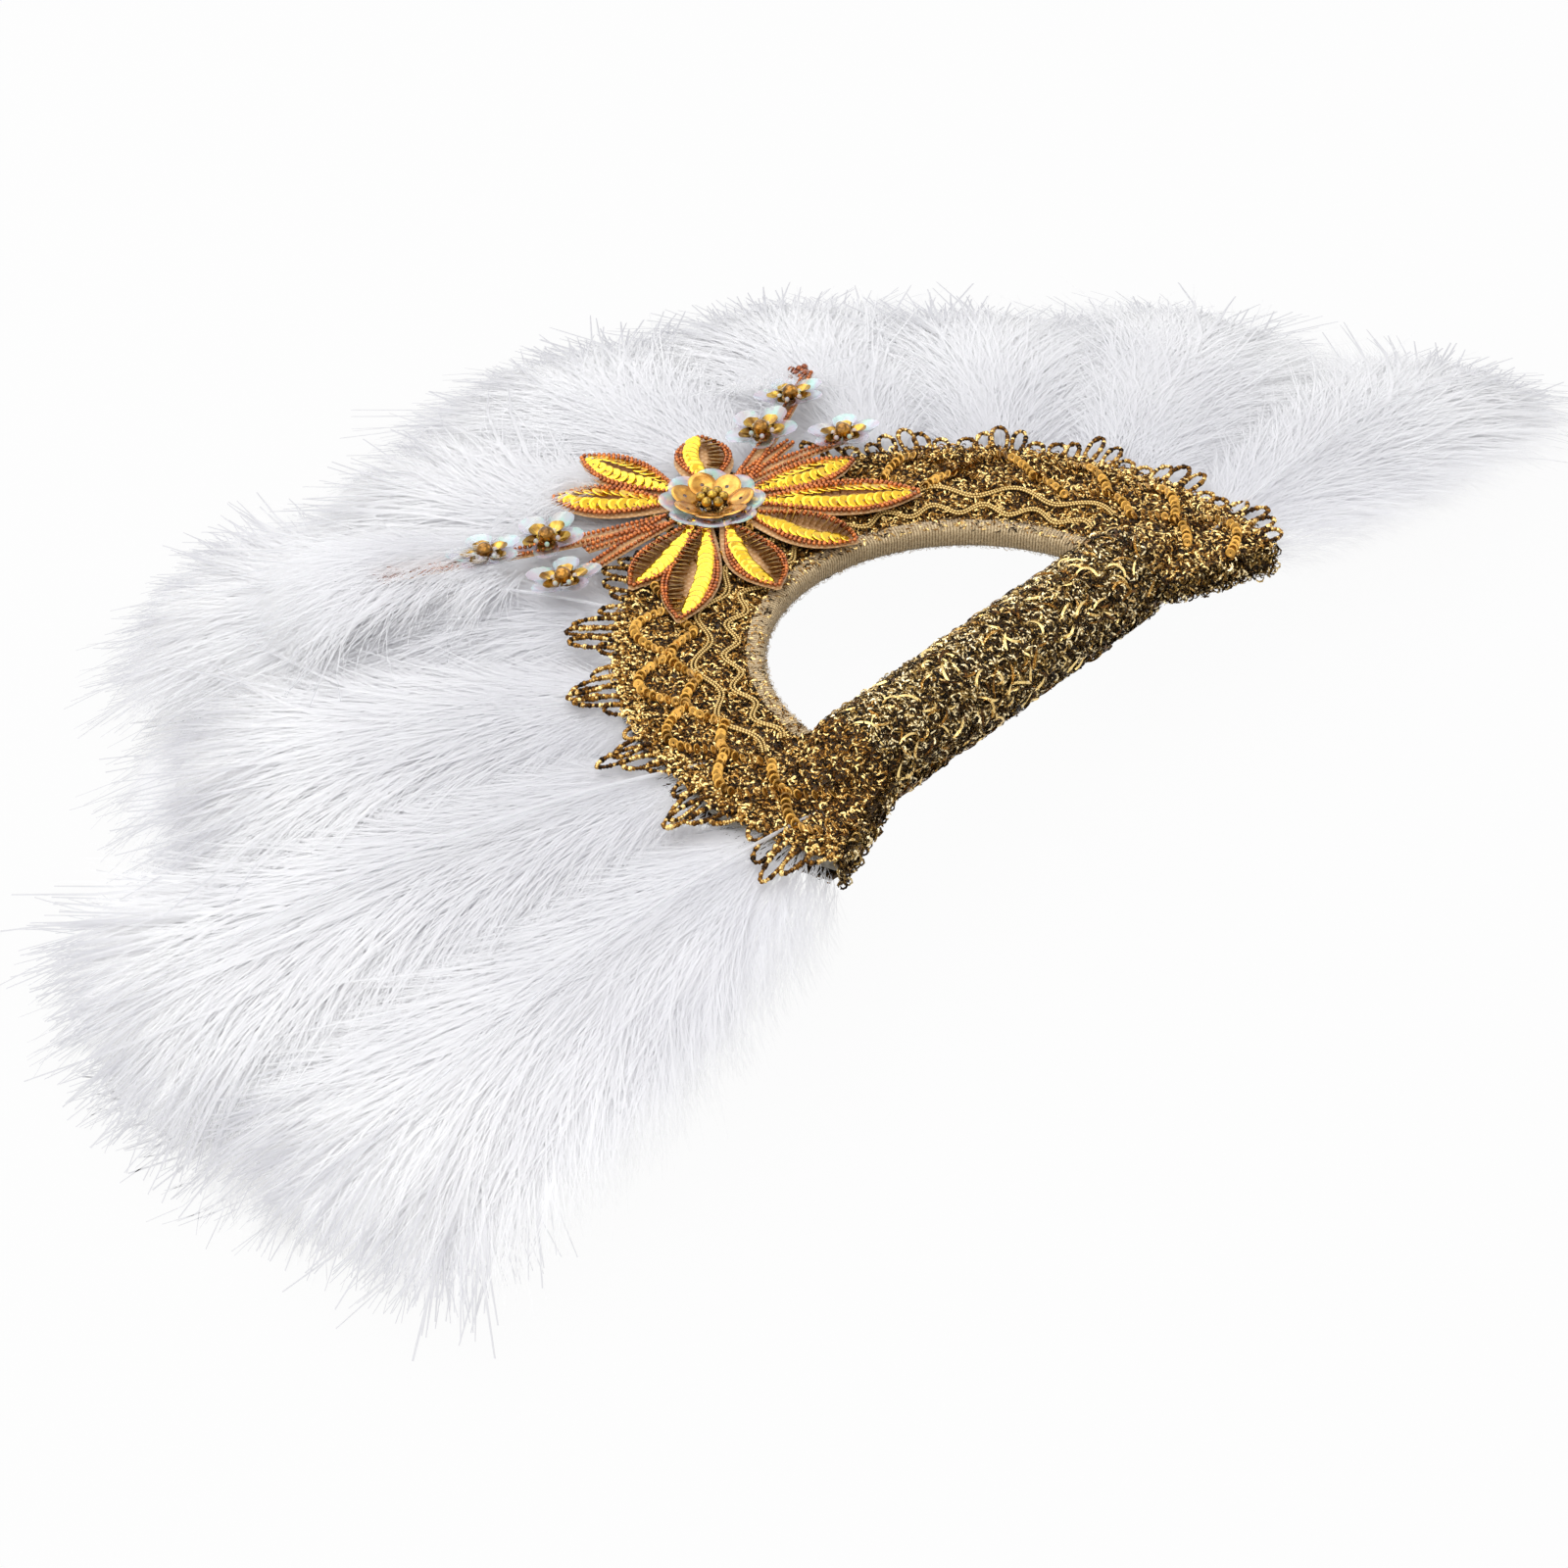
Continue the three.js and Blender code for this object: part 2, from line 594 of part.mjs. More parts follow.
// Bead strings of one spray, fanning out of a common knot beside the flower
function beadStems({ root, stems }) {
  const level = PETAL_LEVEL + STEM_RADIUS;
  const knot = new THREE.CylinderGeometry(STEM_ROOT_RADIUS, STEM_ROOT_RADIUS, 1.6 * STEM_RADIUS, 12);
  const middle = flowerPoint(STEM_START, root, level);
  const pieces = [knot.rotateX(Math.PI / 2).translate(middle.x, middle.y, level)];
  for (const { angle, length } of stems) {
    const bend = flowerPoint((STEM_START + length) / 2, (root + 2 * angle) / 3, level);
    const curve = new THREE.QuadraticBezierCurve3(middle, bend, flowerPoint(length, angle, level));
    pieces.push(strand(curve.getPoints(5), roundSection(STEM_RADIUS, 6)));
  }
  return unite(pieces);
}

// Sequin cup with a flat floor and a lobed, flaring rim
function sequinCup(cup) {
  const { radius, height } = cup;
  const profile = [
    [0, 0],
    [CUP_FLOOR_SHARE * radius, 0, 0],
    [radius, height - CUP_WALL / 2, 1],
    [0.97 * radius, height, 1],
    [0.45 * radius, CUP_WALL, 0],
    [0, CUP_WALL],
  ];
  return lobedDish(profile, cup);
}

// Cluster of round beads in the middle of the flower
function beadCluster() {
  const ring = 1.6 * BEAD_RADIUS;
  const bead = () => new THREE.SphereGeometry(BEAD_RADIUS, 6, 4);
  const around = spaced(0, 360, 7).slice(0, -1).map((angle) => bead().translate(
    ring * Math.cos(radians(angle)),
    ring * Math.sin(radians(angle)),
    BEAD_RADIUS,
  ));
  return unite([bead().translate(0, 0, 1.3 * BEAD_RADIUS), ...around]);
}

// Gold cup of a blossom with a round bead standing in it
function blossomHeart() {
  const { radius, height } = BLOSSOM_HEART;
  const bead = HEART_BEAD_RADIUS;
  const profile = [
    [0, 0],
    [CUP_FLOOR_SHARE * radius, 0, 0],
    [radius, height - CUP_WALL / 2, 1],
    [0.95 * radius, height, 1],
    [bead, CUP_WALL, 0],
    [1.1 * bead, CUP_WALL + 0.6 * bead, 0],
    [0.7 * bead, CUP_WALL + 1.2 * bead, 0],
    [0, CUP_WALL + 1.4 * bead],
  ];
  return lobedDish(profile, BLOSSOM_HEART);
}

// Bud at the end of a spray
function sprayBud() {
  const { radius, height } = BUD;
  const profile = [
    [0, 0],
    [0.7 * radius, 0, 0],
    [radius, 0.45 * height, 1],
    [0.5 * radius, 0.9 * height, 0],
    [0, height],
  ];
  return lobedDish(profile, BUD);
}

// Half the width of a plume's vane: it widens as it grows and is cut to a round, tufted end
function vaneHalfWidth(growth, share, station) {
  const tuft = share > 0.5 && station % 2 ? 0.93 : 1;
  const outline = growth ** 0.6 * (1 - share ** 6) ** 0.5;
  const widest = 0.765;
  return Math.max(QUILL_WIDTH / 2, (PLUME_WIDTH / 2) * tuft * (outline / widest));
}

// Plume: a quill glued to the board, then a rachis with two thin vanes that droops outwards. Its outer face
// carries a swell of down from beyond the lace to the tip, and it is cut to a share of the full reach.
function plume({ rootAngle, tipAngle, cut }, side, down, droop, droopPower) {
  const root = ringPoint(QUILL_START, rootAngle);
  const tip = ringPoint(PLUME_REACH, tipAngle);
  const full = root.distanceTo(tip);
  const length = full - (1 - cut) * PLUME_REACH;
  const out = tip.clone().sub(root).normalize();
  const across = new THREE.Vector3().crossVectors(UP, out);
  const vaneStart = BOARD_RADIUS + COVER_OVERHANG - QUILL_START;
  const bendStart = PICOT_REACH + CLEARANCE - QUILL_START;
  const vaneShares = [0, 0.09, 0.21, 0.36, 0.5, 0.62, 0.73, 0.83, 0.91, 0.97, 1];
  const distances = [0, ...vaneShares.map((share) => THREE.MathUtils.lerp(vaneStart, length, share))];
  const stations = distances.map((distance, station) => {
    const share = Math.max(0, (distance - vaneStart) / (length - vaneStart));
    const growth = Math.max(0, (distance - vaneStart) / (full - vaneStart));
    const half = vaneHalfWidth(growth, share, station);
    const bend = Math.max(0, (distance - bendStart) / (full - bendStart));
    const spine = side * QUILL_LEVEL - droop * bend ** droopPower;
    const rachis = THREE.MathUtils.lerp(QUILL_THICKNESS, RACHIS_THICKNESS, Math.min(1, 4 * growth));
    const taper = 1 - VANE_TAPER * share;
    const vane = (VANE_THICKNESS / 2) * taper;
    const ridge = (rachis / 2) * taper;
    const swell = down * Math.min(1, bend / DOWN_RISE) * (1 - share ** 4) ** 0.5;
    const [over, under] = side > 0 ? [swell, 0] : [0, swell];
    const section = [
      new THREE.Vector2(-half, 0),
      new THREE.Vector2(-half / 2, -vane - under / 2),
      new THREE.Vector2(0, -ridge - under),
      new THREE.Vector2(half / 2, -vane - under / 2),
      new THREE.Vector2(half, 0),
      new THREE.Vector2(half / 2, vane + over / 2),
      new THREE.Vector2(0, ridge + over),
      new THREE.Vector2(-half / 2, vane + over / 2),
    ];
    const roll = Math.tan(radians(PLUME_ROLL)) * Math.min(1, 6 * growth);
    const place = ({ x, y }) => root.clone()
      .addScaledVector(out, distance)
      .addScaledVector(across, x)
      .addScaledVector(UP, spine + roll * x + y);
    return { section, place };
  });
  return loft(stations);
}

function numbered(name, index) {
  return `${name}_${String(index + 1).padStart(2, '0')}`;
}

addPart('core_board', coreBoard(), BOARD_GREY);
addPart('handle_pad_front', handlePad(1), FOAM_CREAM);
addPart('handle_pad_back', handlePad(-1), FOAM_CREAM);
addPart('handle_wrap', handleWrap(), LACE_GOLD);
addPart('front_cover', ringCover(1), LACE_GOLD);
addPart('back_cover', ringCover(-1), LACE_GOLD);
addPart('opening_binding', openingBinding(), BINDING_BROWN);
addPart('picot_edging', picotEdging(), LACE_GOLD);
addPart('inner_wave_cord', waveCord(INNER_CORD_RADIUS, INNER_CORD_SWING, INNER_CORD_START), CORD_GOLD);
addPart('outer_wave_cord', waveCord(OUTER_CORD_RADIUS, OUTER_CORD_SWING, OUTER_CORD_START), CORD_GOLD);
addPart('sequin_chain', sequinChain(), SEQUIN_GOLD);
addPart('organza_base', organzaBase(), ORGANZA_TAN);
PETALS.forEach((shape, index) => addPart(numbered('flower_petal', index), petal(shape), SEQUIN_GOLD));
addPart('flower_cup', sequinCup(FLOWER_CUP).translate(FLOWER_X, FLOWER_Y, FLOWER_LEVEL), SEQUIN_PEARL);
addPart('flower_disc_ring', sequinCup(DISC_RING).translate(FLOWER_X, FLOWER_Y, DISC_LEVEL), DISC_AMBER);
addPart('flower_bead_cluster', beadCluster().translate(FLOWER_X, FLOWER_Y, CLUSTER_LEVEL), SEQUIN_GOLD);

for (const spray of SPRAYS) {
  addPart(`${spray.side}_bead_stems`, beadStems(spray), BEAD_COPPER);
  spray.blossoms.forEach(({ angle, distance }, index) => {
    const seat = flowerPoint(distance, angle, BLOSSOM_LEVEL);
    const name = numbered(`${spray.side}_blossom`, index);
    addPart(`${name}_cup`, sequinCup(BLOSSOM_CUP).translate(seat.x, seat.y, seat.z), SEQUIN_PEARL);
    addPart(`${name}_heart`, blossomHeart().translate(seat.x, seat.y, seat.z + CUP_SEAT), DISC_AMBER);
  });
  const end = flowerPoint(spray.bud.distance, spray.bud.angle, BLOSSOM_LEVEL);
  addPart(`${spray.side}_bud`, sprayBud().translate(end.x, end.y, end.z), BEAD_COPPER);
}

const tipAngles = spaced(-TIP_DROP, 180 + TIP_DROP, FRONT_PLUMES);
const frontPlaces = spaced(-ROOT_DROP, 180 + ROOT_DROP, FRONT_PLUMES).map((rootAngle, index) => ({
  rootAngle,
  tipAngle: tipAngles[index],
  cut: FRONT_CUTS[index % FRONT_CUTS.length],
}));
const backPlaces = frontPlaces.slice(1).map(({ rootAngle, tipAngle }, index) => ({
  rootAngle: (rootAngle + frontPlaces[index].rootAngle) / 2,
  tipAngle: (tipAngle + frontPlaces[index].tipAngle) / 2,
  cut: BACK_CUTS[index % BACK_CUTS.length],
}));
frontPlaces.forEach((place, index) => {
  const shape = plume(place, 1, FRONT_DOWN, FRONT_DROOP, FRONT_DROOP_POWER);
  addPart(numbered('front_plume', index), shape, FEATHER_WHITE);
});
backPlaces.forEach((place, index) => {
  const shape = plume(place, -1, BACK_DOWN, BACK_DROOP, BACK_DROOP_POWER);
  addPart(numbered('back_plume', index), shape, FEATHER_WHITE);
});

// The origin goes under the middle of the whole fan
const box = new THREE.Box3().setFromObject(parts);
const middle = box.getCenter(new THREE.Vector3());
parts.position.set(-middle.x, -middle.y, -box.min.z);

export default fan;
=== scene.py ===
"""Looks of a half-round feather hand fan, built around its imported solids.

Everything is in metres in the frame of the solids: X runs along the handle, +Y points to the top of the fan and +Z out
of its decorated front. Sizes in the classes are millimetres, as a maker would write them.
"""

import json
import logging
import math
from dataclasses import dataclass, field
from enum import Enum
from functools import partial
from random import Random
from typing import Any, Iterable, Mapping, Sequence

import bpy
from mathutils import Matrix, Vector, noise

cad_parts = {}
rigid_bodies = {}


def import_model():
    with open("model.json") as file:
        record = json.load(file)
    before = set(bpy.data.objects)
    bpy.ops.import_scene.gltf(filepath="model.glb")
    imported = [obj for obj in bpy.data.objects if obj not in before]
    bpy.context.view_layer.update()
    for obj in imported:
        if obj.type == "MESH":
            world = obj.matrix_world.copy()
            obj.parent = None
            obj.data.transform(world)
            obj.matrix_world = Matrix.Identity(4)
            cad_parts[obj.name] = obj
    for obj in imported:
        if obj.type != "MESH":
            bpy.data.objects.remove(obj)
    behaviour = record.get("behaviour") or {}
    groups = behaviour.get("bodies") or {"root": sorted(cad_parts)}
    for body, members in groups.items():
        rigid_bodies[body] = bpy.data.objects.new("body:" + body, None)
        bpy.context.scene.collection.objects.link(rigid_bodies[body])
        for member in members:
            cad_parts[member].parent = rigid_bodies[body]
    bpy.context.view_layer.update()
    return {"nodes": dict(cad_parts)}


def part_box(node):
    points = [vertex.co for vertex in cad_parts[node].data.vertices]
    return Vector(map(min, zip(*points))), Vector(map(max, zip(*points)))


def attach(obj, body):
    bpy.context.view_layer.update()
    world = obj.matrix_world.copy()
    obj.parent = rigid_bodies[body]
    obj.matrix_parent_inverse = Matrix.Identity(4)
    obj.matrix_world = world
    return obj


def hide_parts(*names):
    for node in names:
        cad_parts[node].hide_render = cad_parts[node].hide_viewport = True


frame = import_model()

LOG = logging.getLogger("feather_fan")
MM = 0.001
UP = Vector((0, 0, 1))
BODY = "root"
PATTERNS = "patterns"
MATH = "ShaderNodeMath"
VECTOR = "ShaderNodeVectorMath"
NOISE = "ShaderNodeTexNoise"
MAP_RANGE = "ShaderNodeMapRange"
ATTRIBUTE = "ShaderNodeAttribute"
RANDOM = "FunctionNodeRandomValue"
TURN = "FunctionNodeAxesToRotation"
STORE = "GeometryNodeStoreNamedAttribute"
ON_INSTANCE = {"data_type": "FLOAT", "domain": "INSTANCE"}
ON_POINT = {"data_type": "FLOAT", "domain": "POINT"}
EVERY_WAY = {0: (-1, -1, -1), 1: (1, 1, 1)}
Feed = Any
Faces = list[tuple[int, ...]]
Shape = tuple[Sequence[Vector], Faces]
Tree = bpy.types.NodeTree
Node = bpy.types.Node
Piece = bpy.types.Object
Stock = bpy.types.Collection


def spaced(first: float, last: float, steps: int) -> list[float]:
    """Divides a stretch evenly.

    Args:
        first: Where it starts.
        last: Where it ends.
        steps: Number of steps.

    Returns:
        The start of each step, and the end.
    """
    return [first + (last - first) * step / steps for step in range(steps + 1)]


def linear(code: str) -> tuple[float, float, float, float]:
    """Turns an sRGB colour into linear light.

    Args:
        code: The colour as "#RRGGBB".

    Returns:
        Red, green, blue and a full alpha.
    """
    parts = [int(code[place : place + 2], 16) / 255 for place in (1, 3, 5)]
    red, green, blue = (p / 12.92 if p <= 0.04045 else ((p + 0.055) / 1.055) ** 2.4 for p in parts)
    return red, green, blue, 1.0


def fill(tree: Tree, node: Node, feeds: Mapping[str | int, Feed]) -> None:
    """Sets or links inputs of a node.

    Args:
        tree: The tree that holds it.
        node: The node.
        feeds: Input name or number, and the value, socket or node that feeds it.
    """
    for name, value in feeds.items():
        if isinstance(value, bpy.types.Node):
            value = next(socket for socket in value.outputs if socket.enabled)
        if isinstance(value, bpy.types.NodeSocket):
            tree.links.new(value, node.inputs[name])
        else:
            node.inputs[name].default_value = value


def add_node(
    tree: Tree, kind: str, feeds: Mapping[str | int, Feed] | None = None, stops: Sequence[tuple[float, str]] = (),
    **settings: Any
) -> Node:
    """Adds a node with its settings, its inputs and its colour stops.

    Args:
        tree: The tree that takes the node.
        kind: Blender's identifier of the node.
        feeds: Input name or number, and the value, socket or node that feeds it.
        stops: Places and colours of a colour ramp.
        settings: The node's own properties.

    Returns:
        The new node.
    """
    made = tree.nodes.new(kind)
    for name, value in settings.items():
        setattr(made, name, value)
    fill(tree, made, feeds or {})
    for number, (place, code) in enumerate(stops):
        ramp = made.color_ramp.elements
        stop = ramp[number] if number < 2 else ramp.new(place)
        stop.position = place
        stop.color = linear(code)
    return made


def run_steps(tree: Tree, made: dict[str, Feed], steps: Mapping[str, tuple]) -> None:
    """Adds a run of nodes, each fed by what was made before it.

    Args:
        tree: The tree that takes the nodes.
        made: Inputs and nodes by name; the new nodes join them.
        steps: Kind, operation and feeds of each new node. A word among the feeds names an input or an earlier node, and
            None leaves an input alone.
    """
    for name, (kind, operation, *feeds) in steps.items():
        given = {
            place: made[feed] if isinstance(feed, str) else feed for place, feed in enumerate(feeds) if feed is not None
        }
        made[name] = add_node(tree, kind, given, operation=operation)


@dataclass(frozen=True)
class Finish:
    """A surface as it was made.

    Attributes:
        title: Common name of the material and how its surface was made.
        slot: The record's material slot; not used.
    """

    title: str
    slot: str

    def material(self) -> bpy.types.Material:
        """Builds the finish at its first use.

        Returns:
            Its node material.
        """
        known = bpy.data.materials.get(self.title)
        if known:
            return known
        made = bpy.data.materials.new(self.title)
        made.use_nodes = True
        tree = made.node_tree
        tree.nodes.clear()
        shader = add_node(tree, "ShaderNodeBsdfPrincipled")
        add_node(tree, "ShaderNodeOutputMaterial", {"Surface": self.dress(tree, shader)})
        return made

    def dress(self, tree: Tree, shader: Node) -> Node:
        """Fills the shader; each kind of finish has its own way.

        Args:
            tree: The material's tree.
            shader: Its surface shader.

        Returns:
            What makes the surface.
        """
        raise NotImplementedError


@dataclass(frozen=True)
class Marabou(Finish):
    """Bleached marabou down: matt sheer barbs whose colour holds painted shade, cool grey inside the down, clean white
    towards the plume's end and grey on loose strand ends.
    """

    # From the first colour to end: painted shade, grey inside the down and white at the plume's end.
    deep_shade: str = "#F0F0F2"
    body: str = "#F8F8F9"
    end: str = "#FDFDFD"
    # Painted shade: grey on the ends of loose strands.
    fringe: str = "#E2E2E5"
    tuft_mm: float = 30.0
    sheer: float = 0.6

    def dress(self, tree: Tree, shader: Node) -> Node:
        """Paints shade into the barbs: grey at their roots and near the quill, white towards their ends and the plume's
        end, shifted by faint random patches the size of a tuft; loose strand ends are painted grey.
        """
        put = partial(add_node, tree)
        where = put("ShaderNodeTexCoord").outputs["Object"]
        made = {name: put(ATTRIBUTE, attribute_name=name).outputs["Fac"] for name in ("tip", "out", "loose")}
        made["tuft"] = put(NOISE, {"Vector": where, "Scale": 1 / (self.tuft_mm * MM), "Detail": 2.0})
        made["bare"] = put(MAP_RANGE, {0: made["tip"], 1: 0.4, 2: 0.85})
        steps = {
            "patch": (MATH, "MULTIPLY_ADD", "tuft", 0.4, -0.2), "share": (MATH, "MULTIPLY_ADD", "out", 0.6, "patch"),
            "reach": (MATH, "MULTIPLY_ADD", "tip", 0.3, "share"), "last": (MATH, "MULTIPLY", "bare", "loose")
        }
        run_steps(tree, made, steps)
        # Painted shade: grey at the roots of barbs and plume, white towards their ends.
        stops = [(0.05, self.deep_shade), (0.45, self.body), (0.85, self.end)]
        colour = put("ShaderNodeValToRGB", {0: made["reach"]}, stops)
        shown = put("ShaderNodeMix", {0: made["last"], 6: colour, 7: linear(self.fringe)}, data_type="RGBA").outputs[2]
        fill(tree, shader, {"Base Color": shown, "Roughness": 0.85, "Specular IOR Level": 0.1})
        through = put("ShaderNodeBsdfTranslucent", {"Color": shown})
        return put("ShaderNodeMixShader", {0: self.sheer, 1: shader, 2: through})


@dataclass(frozen=True)
class Grained(Finish):
    """A surface whose colour follows a fine grain, and where it has one the tone of each thread, disc or bead.

    Attributes:
        stops: Places and colours of its ramp.
        grain_mm: Size of its grain.
        detail: Octaves of the grain.
        grain: Share and offset of the grain in the ramp's value.
        lead: Name and share of the stored value that is added to it, if any.
        wave_mm: Length of the ribs that run along the stored value, if any.
        rough: Roughness at the low and the high end of the ramp.
        relief: Strength and depth in millimetres of its bumps, if any.
        whole_relief: Whether the bumps follow the ramp's value and not the grain alone.
        shiny: Whether it turns to metal where the ramp's value is high.
        look: Other inputs of its shader.
    """

    stops: tuple[tuple[float, str], ...]
    grain_mm: float
    rough: tuple[float, float]
    detail: float = 2.0
    grain: tuple[float, float] = (1.0, 0.0)
    lead: tuple[str, float] | None = None
    wave_mm: float = 0.0
    relief: tuple[float, float] | None = None
    whole_relief: bool = False
    shiny: bool = False
    look: tuple[tuple[str, float], ...] = ()

    def values(self, tree: Tree) -> tuple[Feed, Feed]:
        """Makes the pattern.

        Args:
            tree: The material's tree.

        Returns:
            The bumps' height and the ramp's value.
        """
        put = partial(add_node, tree)
        where = put("ShaderNodeTexCoord").outputs["Object"]
        grain = put(NOISE, {"Vector": where, "Scale": 1 / (self.grain_mm * MM), "Detail": self.detail})
        share, offset = self.grain
        value = put(MATH, {0: grain, 1: share, 2: offset}, operation="MULTIPLY_ADD")
        if self.lead:
            name, weight = self.lead
            stored = put(ATTRIBUTE, attribute_name=name).outputs["Fac"]
            if self.wave_mm:
                turn = put(MATH, {0: stored, 1: math.tau / self.wave_mm}, operation="MULTIPLY")
                stored = put(MATH, {0: turn}, operation="SINE")
            value = put(MATH, {0: stored, 1: weight, 2: value}, operation="MULTIPLY_ADD")
        return value if self.whole_relief else grain, value

    def dress(self, tree: Tree, shader: Node) -> Node:
        """Leads the pattern to colour, roughness and bumps."""
        height, value = self.values(tree)
        colour = add_node(tree, "ShaderNodeValToRGB", {0: value}, self.stops)
        low, high = self.rough
        rough = add_node(tree, MAP_RANGE, {0: value, 3: low, 4: high})
        fill(tree, shader, {"Base Color": colour, "Roughness": rough, **dict(self.look)})
        if self.shiny:
            fill(tree, shader, {"Metallic": value})
        if self.relief:
            strength, depth = self.relief
            bump = add_node(tree, "ShaderNodeBump", {"Strength": strength, "Distance": depth * MM, "Height": height})
            fill(tree, shader, {"Normal": bump})
        return shader


@dataclass(frozen=True)
class LaceGround(Grained):
    """Guipure ground: brown net stitched over with lurex, shiny on its stitches, with near-black painted in its holes
    as shade.
    """

    grit: float = 2.5

    def values(self, tree: Tree) -> tuple[Feed, Feed]:
        """Draws cells of net with raised stitches between them; the cells' middles go near black as painted shade."""
        put = partial(add_node, tree)
        where = put("ShaderNodeTexCoord").outputs["Object"]
        scale = 1 / (self.grain_mm * MM)
        cells = put("ShaderNodeTexVoronoi", {"Vector": where, "Scale": scale}, feature="DISTANCE_TO_EDGE")
        grit = put(NOISE, {"Vector": where, "Scale": self.grit * scale, "Detail": self.detail})
        near = put(MAP_RANGE, {0: cells.outputs[0], 1: 0.0, 2: 0.35, 3: 1.0, 4: 0.0})
        value = put(MATH, {0: near, 1: grit}, operation="MULTIPLY")
        return value, value


@dataclass(frozen=True)
class Organza(Grained):
    """Nylon organza: sheer tan cloth with a fine square weave, drawn coarser than life so that it shows."""

    def values(self, tree: Tree) -> tuple[Feed, Feed]:
        """Crosses warp and weft."""
        put = partial(add_node, tree)
        where = put("ShaderNodeTexCoord").outputs["Object"]
        feeds = {"Vector": where, "Scale": 1 / (self.grain_mm * MM) / math.tau}
        warp, weft = (put("ShaderNodeTexWave", feeds, bands_direction=way).outputs["Fac"] for way in "XY")
        value = put(MATH, {0: warp, 1: weft}, operation="MULTIPLY")
        return value, value


def lurex(title: str, dark: str, bronze: str, gold: str, glint: str) -> Grained:
    """Describes metallised lurex thread: slit foil twisted on yarn; each loop takes a random tone from brown to bright,
    partly the real mix of yarn and foil, partly painted shade and painted glints.

    Args:
        title: Name of the thread.
        dark: Its deepest colour, partly painted shade.
        bronze: Its shaded colour, painted shade.
        gold: Its lit colour.
        glint: Its brightest colour, a painted glint.

    Returns:
        The finish.
    """
    # Each loop draws its tone at random: the dark and bronze stops are painted shade, the glint stop a painted glint.
    stops = ((0.1, dark), (0.38, bronze), (0.66, gold), (0.92, glint))
    return Grained(
        title, "gold_lace", stops, 0.4, (0.55, 0.22), 1.0, (1.2, -0.6), ("tone", 1.0), relief=(0.5, 0.15),
        look=(("Metallic", 0.85),)
    )


def foil(title: str, slot: str, shade: str, face: str, rough: float = 0.16) -> Grained:
    """Describes vacuum-metallised polyester foil: a mirror-like coloured disc, faintly buckled by its stamping; each
    disc mixes a painted shaded colour into its face colour at random.

    Args:
        title: Name of the foil.
        slot: The record's material slot.
        shade: A darker colour painted in as shade.
        face: Its lit colour.
        rough: Its roughness.

    Returns:
        The finish.
    """
    look = (("Metallic", 0.8), ("Coat Weight", 0.4))
    # Painted shade: each disc's tone mixes the shaded colour in at random.
    return Grained(
        title, slot, ((0.3, shade), (0.72, face)), 3.0, (rough, rough), lead=("tone", 0.6), relief=(0.25, 0.3),
        look=look
    )


DOWN = Marabou("bleached marabou down", "white_feather")
# Both threads carry painted shade and painted glints in their random tones.
LACE_THREAD = lurex("gold lurex thread", "#120A02", "#54330D", "#9A6A22", "#FADA90")
HANDLE_THREAD = lurex("dark gold lurex thread", "#0C0702", "#442D10", "#967636", "#FFECBC")
# The near-black stop is painted shade in the net's holes.
LACE_GROUND = LaceGround(
    "stitched guipure ground", "gold_lace", ((0.1, "#0E0702"), (0.4, "#442D0C"), (0.75, "#7E581C")), 1.1, (0.5, 0.5),
    relief=(0.8, 0.3), shiny=True
)
# Painted shade and light: the tape is darker in the valleys of its ribs and paler on their crowns.
TAPE = Grained(
    "ribbed cotton tape", "binding_weave", ((0.2, "#866D48"), (0.8, "#E8D0A6")), 0.54, (0.85, 0.85),
    lead=("along", 0.28), wave_mm=0.9, relief=(0.7, 0.25), whole_relief=True, look=(("Sheen Weight", 0.2),)
)
# Painted shade and highlight: the braid is dark gold in the valleys of its ribs and pale gold on their crowns.
BRAID = Grained(
    "rayon soutache braid", "gold_soutache", ((0.0, "#855B18"), (0.7, "#EBCB80")), 1.0, (0.34, 0.34), grain=(0.0, 0.5),
    lead=("along", 0.5), wave_mm=0.9, relief=(0.5, 0.2), whole_relief=True, look=(("Metallic", 0.4),)
)
GOLD_FOIL = foil("gold foil sequin", "gold_sequin", "#CE9410", "#F8CA28")
CHAIN_FOIL = foil("old gold foil sequin", "gold_sequin", "#573809", "#BE8C35", 0.22)
# A darker copy of the gold foil: painted shade for the petal halves whose discs turn away.
PAINTED_SHADE_FOIL = foil("shaded gold foil sequin", "gold_sequin", "#55360A", "#A87E24")
AMBER_FOIL = foil("amber foil disc", "amber_disc", "#A66A14", "#DDA84A", 0.25)
LEAF_FOIL = foil("gilt leaf sequin", "amber_disc", "#744C0C", "#D2AC44", 0.2)
BEAD_GOLD = foil("gilt bead", "gold_sequin", "#5E4305", "#CBA232", 0.12)
STONE = foil("amber glass bead", "amber_disc", "#452A05", "#B98022", 0.08)
IRIS = Grained(
    "iridescent clear sequin", "pearl_sequin", ((0.35, "#EBCFE0"), (0.5, "#E4D8EE"), (0.66, "#C9EDE8")), 4.0,
    (0.12, 0.12), 1.0, relief=(0.2, 0.3),
    look=(("IOR", 1.5), ("Coat Weight", 0.6), ("Alpha", 0.5), ("Thin Film Thickness", 380.0), ("Thin Film IOR", 1.8))
)
COPPER = Grained(
    "copper lined seed bead", "copper_bead", ((0.35, "#6A2A08"), (0.95, "#C87028")), 1.2, (0.25, 0.25),
    lead=("tone", 0.5), look=(("Metallic", 0.7), ("Coat Weight", 0.5), ("Coat Roughness", 0.08))
)
ORGANZA = Organza(
    "tan nylon organza", "tan_organza", ((0.1, "#CB975C"), (0.7, "#E8BD88")), 0.8, (0.55, 0.55), relief=(0.3, 0.1),
    look=(("Sheen Weight", 0.4),)
)
BOARD = Grained(
    "grey pulp board", "board_card", ((0.35, "#7E786C"), (0.65, "#A39D91")), 1.5, (0.9, 0.9), 4.0, relief=(0.4, 0.2)
)
